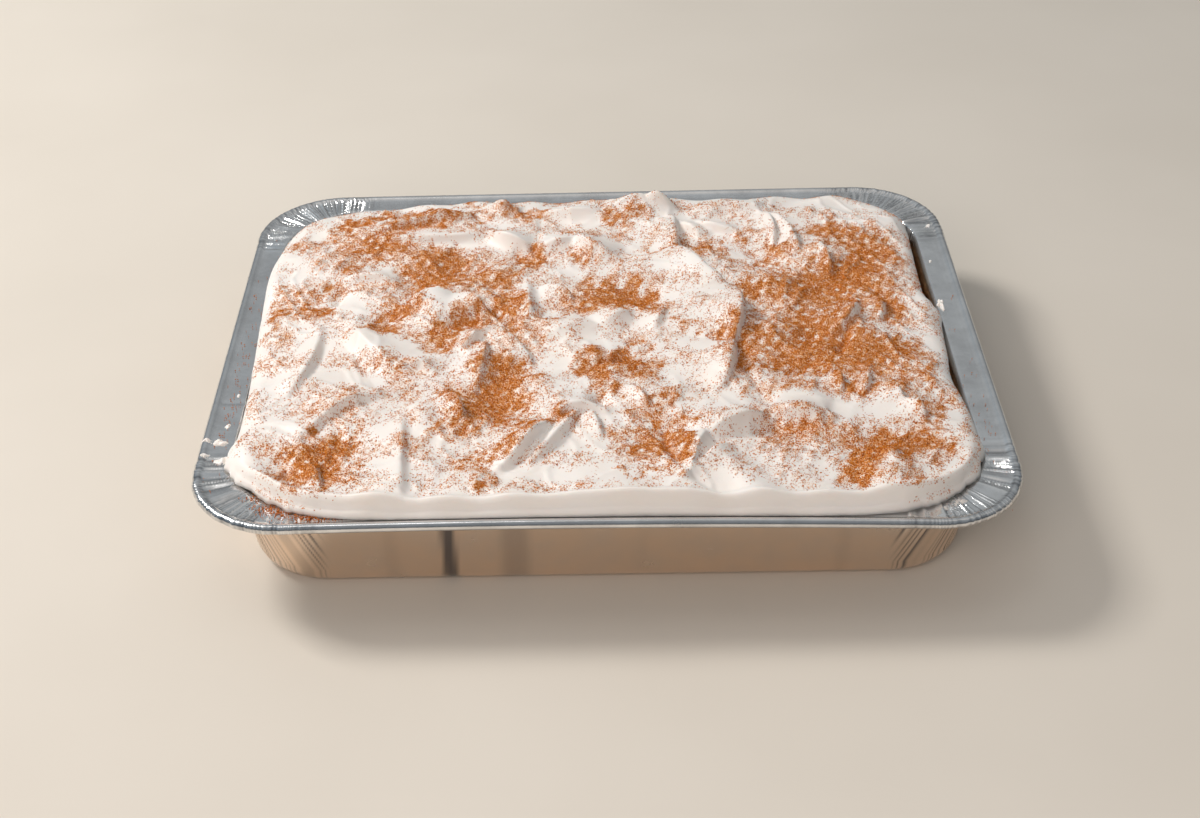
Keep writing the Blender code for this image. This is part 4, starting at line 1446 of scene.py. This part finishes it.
@dataclass
class Smears:
    """Small smears and drops of cream on the pan's flange."""

    pan: FoilPan
    places: tuple[Smear, ...] = (
        Smear(-159.4, -73.0, 1.9, 1.2, 15.0, 0.6), Smear(-154.5, -73.5, 3.4, 1.6, -10.0, 1.0),
        Smear(-158.7, -83.0, 2.0, 1.2, 30.0, 0.6), Smear(-151.0, -86.0, 4.6, 2.2, 10.0, 1.3),
        Smear(-153.0, -62.0, 1.8, 0.8, 70.0, 0.5), Smear(-152.0, -40.0, 1.4, 0.8, 80.0, 0.5),
        Smear(150.0, 24.0, 1.8, 3.6, 5.0, 1.6), Smear(155.5, 93.0, 2.2, 1.0, 60.0, 0.5),
        Smear(151.5, 61.0, 1.2, 0.7, 80.0, 0.4), Smear(133.0, -118.0, 3.0, 1.2, 35.0, 0.8),
        Smear(126.0, -122.0, 2.6, 1.0, 20.0, 0.7),
    )
    ragged: float = 0.22
    lumps: float = 0.25
    bedding: float = 0.1
    rings: int = 9
    spokes: int = 36

    def build(self) -> bpy.types.Object:
        """Make the smears, as one piece.

        Returns:
            The new object.
        """
        points, faces = [], []
        for number, smear in enumerate(self.places):
            turn = np.arange(self.spokes) / self.spokes * math.tau
            edge = 1.0 + self.ragged * ripple(np.cos(turn), np.sin(turn), 1.6, SEED + 60 + number, 5)
            share = np.linspace(1.0, 0.0, self.rings)[:, None]
            out_x = smear.along * edge * np.cos(turn) * share
            out_y = smear.across * edge * np.sin(turn) * share
            lean = math.radians(smear.heading)
            at_x = smear.x + out_x * math.cos(lean) - out_y * math.sin(lean)
            at_y = smear.y + out_x * math.sin(lean) + out_y * math.cos(lean)
            lump = 1.0 + self.lumps * ripple(at_x, at_y, 2.4, SEED + 80 + number)
            top = smear.rise * np.sqrt(np.clip(1.0 - share ** 2, 0.0, 1.0)) * lump
            radius = self.pan.bead / 2
            from_bead = np.abs(at_x) - self.pan.length / 2 + radius
            on_bead = radius - np.sqrt(np.clip(radius ** 2 - from_bead ** 2, 0.0, None))
            fallen = np.minimum(on_bead, self.pan.flange_drop)
            level = self.pan.height - fallen - self.bedding + self.pan.rim_lift(at_x, at_y)
            first = sum(len(part) for part in points)
            points.append(np.stack([at_x, at_y, level + top], axis=-1).reshape(-1, 3))
            faces.append(grid_faces(self.rings, self.spokes, wrap=True) + first)
        material = CreamFinish().material(dusted=False)
        return add_piece("cream_smears", np.vstack(points), np.vstack(faces), material)


@dataclass
class Cinnamon:
    """The ground cinnamon that was sprinkled over the cream."""

    cream: CreamTopping
    steepest: float = 0.25
    sunk: float = 0.15
    spills: tuple[Spill, ...] = (
        Spill(-135.0, -111.5, 2.6, 1.6, 60), Spill(-129.0, -118.0, 3.2, 1.8, 110),
        Spill(-122.0, -121.5, 3.6, 1.6, 150), Spill(-114.0, -124.5, 4.0, 1.2, 110),
        Spill(-106.0, -126.0, 4.0, 0.8, 40), Spill(-153.5, -50.0, 2.6, 26.0, 70),
        Spill(-153.5, 10.0, 2.6, 40.0, 50), Spill(153.5, -40.0, 2.6, 40.0, 40),
    )
    spill_level: float = 0.35
    from_rim: tuple[float, float] = (0.6, 0.4)

    def shape(self, finish: GrainFinish) -> tuple[Array, Array]:
        """Return the points and faces of one grain of unit size.

        Args:
            finish: The kind of grain.

        Returns:
            The points, and the faces as rows of three point numbers.
        """
        if finish.sharp:
            points = np.array([(1, 1, 0.7), (-1, -1, 0.7), (-1, 1, -0.7), (1, -1, -0.7)]) * 0.36
            faces = np.array([(0, 2, 1), (0, 1, 3), (0, 3, 2), (1, 2, 3)])
            return points, faces
        points = np.array([
            (0.5, 0, 0), (-0.5, 0, 0), (0, 0.36, 0), (0, -0.4, 0), (0, 0, 0.28), (0, 0, -0.28)])
        faces = np.array([
            (0, 2, 4), (2, 1, 4), (1, 3, 4), (3, 0, 4), (2, 0, 5), (1, 2, 5), (3, 1, 5), (0, 3, 5)])
        return points, faces

    def scatter(self, kind: GrainKind, seed: int) -> bpy.types.Object:
        """Strew one kind of grain over the cream, as one piece.

        Args:
            kind: The kind of grain.
            seed: The draw of their places, turns and sizes.

        Returns:
            The new object.
        """
        finish = GRAINS[kind]
        count = finish.count // 1
        draw = np.random.default_rng(seed)
        quads = self.cream.faces[: self.cream.rows * self.cream.columns]
        triangles = np.vstack([quads[:, [0, 1, 2]], quads[:, [0, 2, 3]]])
        a, b, c = (self.cream.points[triangles[:, corner]] for corner in range(3))
        normal = np.cross(b - a, c - a)
        area = np.linalg.norm(normal, axis=1) / 2.0
        normal = normal / np.maximum(2.0 * area, 1e-9)[:, None]
        middle = (a + b + c) / 3.0
        fallen = self.cream.dust(middle[:, 0], middle[:, 1])
        weight = area * fallen * eased((normal[:, 2] - self.steepest) / 0.5)
        picked = np.searchsorted(np.cumsum(weight) / weight.sum(), draw.random(count))
        u, v = draw.random((2, count))
        folded = u + v > 1.0
        u, v = np.where(folded, 1.0 - u, u), np.where(folded, 1.0 - v, v)
        size = draw.uniform(*finish.size, count)
        place = a[picked] + u[:, None] * (b - a)[picked] + v[:, None] * (c - a)[picked]
        place = place + normal[picked] * (size * self.sunk)[:, None]
        return self.strewn(f"cinnamon_{kind.value}", kind, place, size, draw)

    def spilled(self) -> bpy.types.Object:
        """Strew the grains that missed the cream over the pan's flange, as one piece.

        Returns:
            The new object.
        """
        draw = np.random.default_rng(SEED + 70)
        pan = self.cream.pan
        spots = [draw.normal((spill.x, spill.y), (spill.wide, spill.deep), (spill.count, 2))
                 for spill in self.spills]
        x, y = np.vstack(spots).T
        inside_x = np.abs(x) < pan.length / 2 - pan.bead - self.from_rim[0]
        inside_y = np.abs(y) < pan.width / 2 - pan.bead - self.from_rim[1]
        inside = inside_x & inside_y
        x, y = x[inside], y[inside]
        size = draw.uniform(*GRAINS[GrainKind.COARSE].size, len(x))
        level = pan.height - pan.flange_drop + pan.rim_lift(x, y)
        place = np.column_stack([x, y, level + self.spill_level + size * self.sunk])
        return self.strewn("cinnamon_spilled", GrainKind.COARSE, place, size, draw)

    def strewn(self, name: str, kind: GrainKind, place: Array, size: Array,
               draw: np.random.Generator) -> bpy.types.Object:
        """Make grains of one kind at given places, each turned its own way.

        Args:
            name: The piece's name.
            kind: The kind of grain.
            place: The grains' middles.
            size: The grains' sizes.
            draw: The draw of their turns.

        Returns:
            The new object.
        """
        finish = GRAINS[kind]
        count = len(size)
        unit, faces = self.shape(finish)
        axis = draw.normal(size=(count, 3))
        axis = axis / np.linalg.norm(axis, axis=1)[:, None]
        angle = draw.uniform(0.0, math.tau, count)
        cos, sin = np.cos(angle)[:, None, None], np.sin(angle)[:, None, None]
        spread = unit[None] * size[:, None, None]
        along = np.einsum("nkj,nj->nk", spread, axis)[:, :, None] * axis[:, None]
        turned = spread * cos + np.cross(axis[:, None], spread) * sin + along * (1.0 - cos)
        points = (place[:, None] + turned).reshape(-1, 3)
        numbers = (np.arange(count)[:, None, None] * len(unit) + faces[None]).reshape(-1, 3)
        return add_piece(name, points, numbers, finish.material(name))

    def build(self) -> list[bpy.types.Object]:
        """Make every kind of grain."""
        pieces = [self.scatter(kind, SEED + 50 + index) for index, kind in enumerate(GrainKind)]
        return pieces + [self.spilled()]


@dataclass(frozen=True)
class FloorFinish:
    """The pale, even paper that the pan stands on."""

    colour: Colour = (0.74, 0.68, 0.60)
    shade: Colour = (0.70, 0.64, 0.56)

    def material(self) -> bpy.types.Material:
        """Return the floor's material, with a faint unevenness of tone.

        Returns:
            The new material.
        """
        board = Board("floor_paper")
        tone = board.blend(board.span(board.noise(6.0, 3.0), 0.3, 0.7), self.colour, self.shade)
        board.join(tone, board.shader.inputs["Base Color"])
        board.shader.inputs["Roughness"].default_value = 0.75
        return board.material


@dataclass(frozen=True)
class Softbox:
    """A square soft light: its place and side in metres, its power in watts, and whether mirrors show it."""

    name: str
    place: tuple[float, float, float]
    size: float
    power: float
    colour: Colour
    mirrored: bool = True


@dataclass
class Studio:
    """The floor, the lights and the camera."""

    floor_side: float = 6000.0
    softboxes: tuple[Softbox, ...] = (
        Softbox("key", (-1.05, 0.42, 1.15), 0.40, 16.0, (1.0, 0.97, 0.93)),
        Softbox("overhead", (-0.30, 0.0, 1.5), 0.40, 0.6, (1.0, 1.0, 1.0)),
        Softbox("fill", (-0.5, -1.3, 0.9), 1.0, 11.0, (1.0, 0.88, 0.80), mirrored=False),
    )
    pan_height: float = 43.0
    yaw: float = 0.672
    elevation: float = 35.128
    roll: float = 0.441
    offset: tuple[float, float, float] = (-1.679, -31.383, 787.538)
    focal_pixels: float = 1821.775
    frame_pixels: float = 1200.0
    sky_strength: float = 1.2
    sky_levels: tuple[tuple[float, Colour], ...] = (
        (0.5, (0.26, 0.26, 0.26)), (0.60, (0.34, 0.34, 0.34)),
        (0.80, (0.60, 0.60, 0.60)), (0.93, (0.62, 0.62, 0.62)))
    sky_sides: tuple[tuple[float, Colour], ...] = (
        (0.1, (0.78, 0.90, 1.0)), (0.45, (1.0, 1.0, 1.0)),
        (0.60, (0.95, 0.95, 0.95)), (0.85, (0.75, 0.78, 0.80)))
    sky_depths: tuple[tuple[float, Colour], ...] = (
        (0.15, (0.30, 0.32, 0.34)), (0.42, (0.42, 0.44, 0.46)),
        (0.56, (0.86, 0.83, 0.80)), (0.75, (0.55, 0.575, 0.59)))

    def floor(self) -> bpy.types.Object:
        """Make the floor that the pan stands on.

        Returns:
            The new object.
        """
        half = self.floor_side / 2.0 * MM
        mesh = bpy.data.meshes.new("floor")
        corners = [(-half, -half, 0.0), (half, -half, 0.0), (half, half, 0.0), (-half, half, 0.0)]
        mesh.from_pydata(corners, [], [(0, 1, 2, 3)])
        mesh.materials.append(FloorFinish().material())
        floor = bpy.data.objects.new("floor", mesh)
        bpy.context.scene.collection.objects.link(floor)
        return floor

    def hang(self, box: Softbox) -> bpy.types.Object:
        """Hang a soft light so that it faces the cake.

        Args:
            box: The light.

        Returns:
            The light's object.
        """
        light = bpy.data.lights.new(box.name, "AREA")
        light.size = box.size
        light.energy = box.power
        light.color = box.colour
        lamp = bpy.data.objects.new(box.name, light)
        bpy.context.scene.collection.objects.link(lamp)
        lamp.location = box.place
        aim = Vector((0.0, 0.0, self.pan_height * MM)) - Vector(box.place)
        lamp.rotation_euler = aim.to_track_quat("-Z", "Y").to_euler()
        lamp.visible_glossy = box.mirrored
        return lamp

    def lights(self) -> None:
        """Light the cake from the left and behind, under an air that is brighter overhead."""
        for box in self.softboxes:
            self.hang(box)
        world = bpy.data.worlds.new("studio_air")
        world.use_nodes = True
        nodes = world.node_tree.nodes
        links = world.node_tree.links
        place = nodes.new("ShaderNodeTexCoord")
        parts = nodes.new("ShaderNodeSeparateXYZ")
        links.new(place.outputs["Generated"], parts.inputs[0])

        def ramp(axis: str, stops: tuple[tuple[float, Colour], ...]) -> bpy.types.NodeSocket:
            """Return a colour that changes along one axis, its stops given from 0 below to 1 above.

            Args:
                axis: The axis.
                stops: The places of the colours, and the colours.

            Returns:
                The colour.
            """
            shift = nodes.new("ShaderNodeMapRange")
            shift.inputs["From Min"].default_value = -1.0
            links.new(parts.outputs[axis], shift.inputs["Value"])
            node = nodes.new("ShaderNodeValToRGB")
            links.new(shift.outputs["Result"], node.inputs["Fac"])
            while len(node.color_ramp.elements) < len(stops):
                node.color_ramp.elements.new(0.5)
            for element, (position, colour) in zip(node.color_ramp.elements, stops):
                element.position = position
                element.color = (*colour, 1.0)
            return node.outputs["Color"]

        overhead = ramp("Z", self.sky_levels)
        for axis, stops in (("X", self.sky_sides), ("Y", self.sky_depths)):
            mix = nodes.new("ShaderNodeMix")
            mix.data_type = "RGBA"
            mix.blend_type = "MULTIPLY"
            mix.inputs[0].default_value = 1.0
            links.new(overhead, mix.inputs[6])
            links.new(ramp(axis, stops), mix.inputs[7])
            overhead = mix.outputs[2]
        links.new(overhead, nodes["Background"].inputs["Color"])
        nodes["Background"].inputs["Strength"].default_value = self.sky_strength
        bpy.context.scene.world = world
        bpy.context.scene.view_settings.view_transform = "Standard"

    def camera(self) -> bpy.types.Object:
        """Set the camera at the photograph's viewing angle.

        Returns:
            The camera's object.
        """
        yaw = math.radians(self.yaw)
        elevation = math.radians(self.elevation)
        roll = math.radians(self.roll)
        turn = Matrix(((math.cos(yaw), -math.sin(yaw), 0), (math.sin(yaw), math.cos(yaw), 0), (0, 0, 1)))
        look = Matrix((
            (1, 0, 0),
            (0, math.sin(elevation), math.cos(elevation)),
            (0, -math.cos(elevation), math.sin(elevation)),
        ))
        lean = Matrix(((math.cos(roll), -math.sin(roll), 0), (math.sin(roll), math.cos(roll), 0), (0, 0, 1)))
        facing = (lean @ look @ turn).transposed()
        place = facing @ Vector(self.offset) * MM + Vector((0.0, 0.0, self.pan_height * MM))
        data = bpy.data.cameras.new("photo_camera")
        data.sensor_width = 36.0
        data.lens = self.focal_pixels / self.frame_pixels * data.sensor_width
        camera = bpy.data.objects.new("photo_camera", data)
        bpy.context.scene.collection.objects.link(camera)
        camera.matrix_world = Matrix.Translation(place) @ facing.to_4x4()
        bpy.context.scene.camera = camera
        return camera


def main() -> None:
    """Build the cake's pieces in order and set up the studio."""
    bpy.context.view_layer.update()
    studio = Studio()
    studio.floor()
    studio.lights()
    studio.camera()
    pan = FoilPan()
    pan.build()
    sponge = Sponge(pan)
    sponge.build()
    cream = CreamTopping(pan, sponge)
    cream.build()
    Smears(pan).build()
    Cinnamon(cream).build()


if __name__ == "__main__":
    logging.basicConfig(level=logging.INFO, format="%(message)s")
    main()
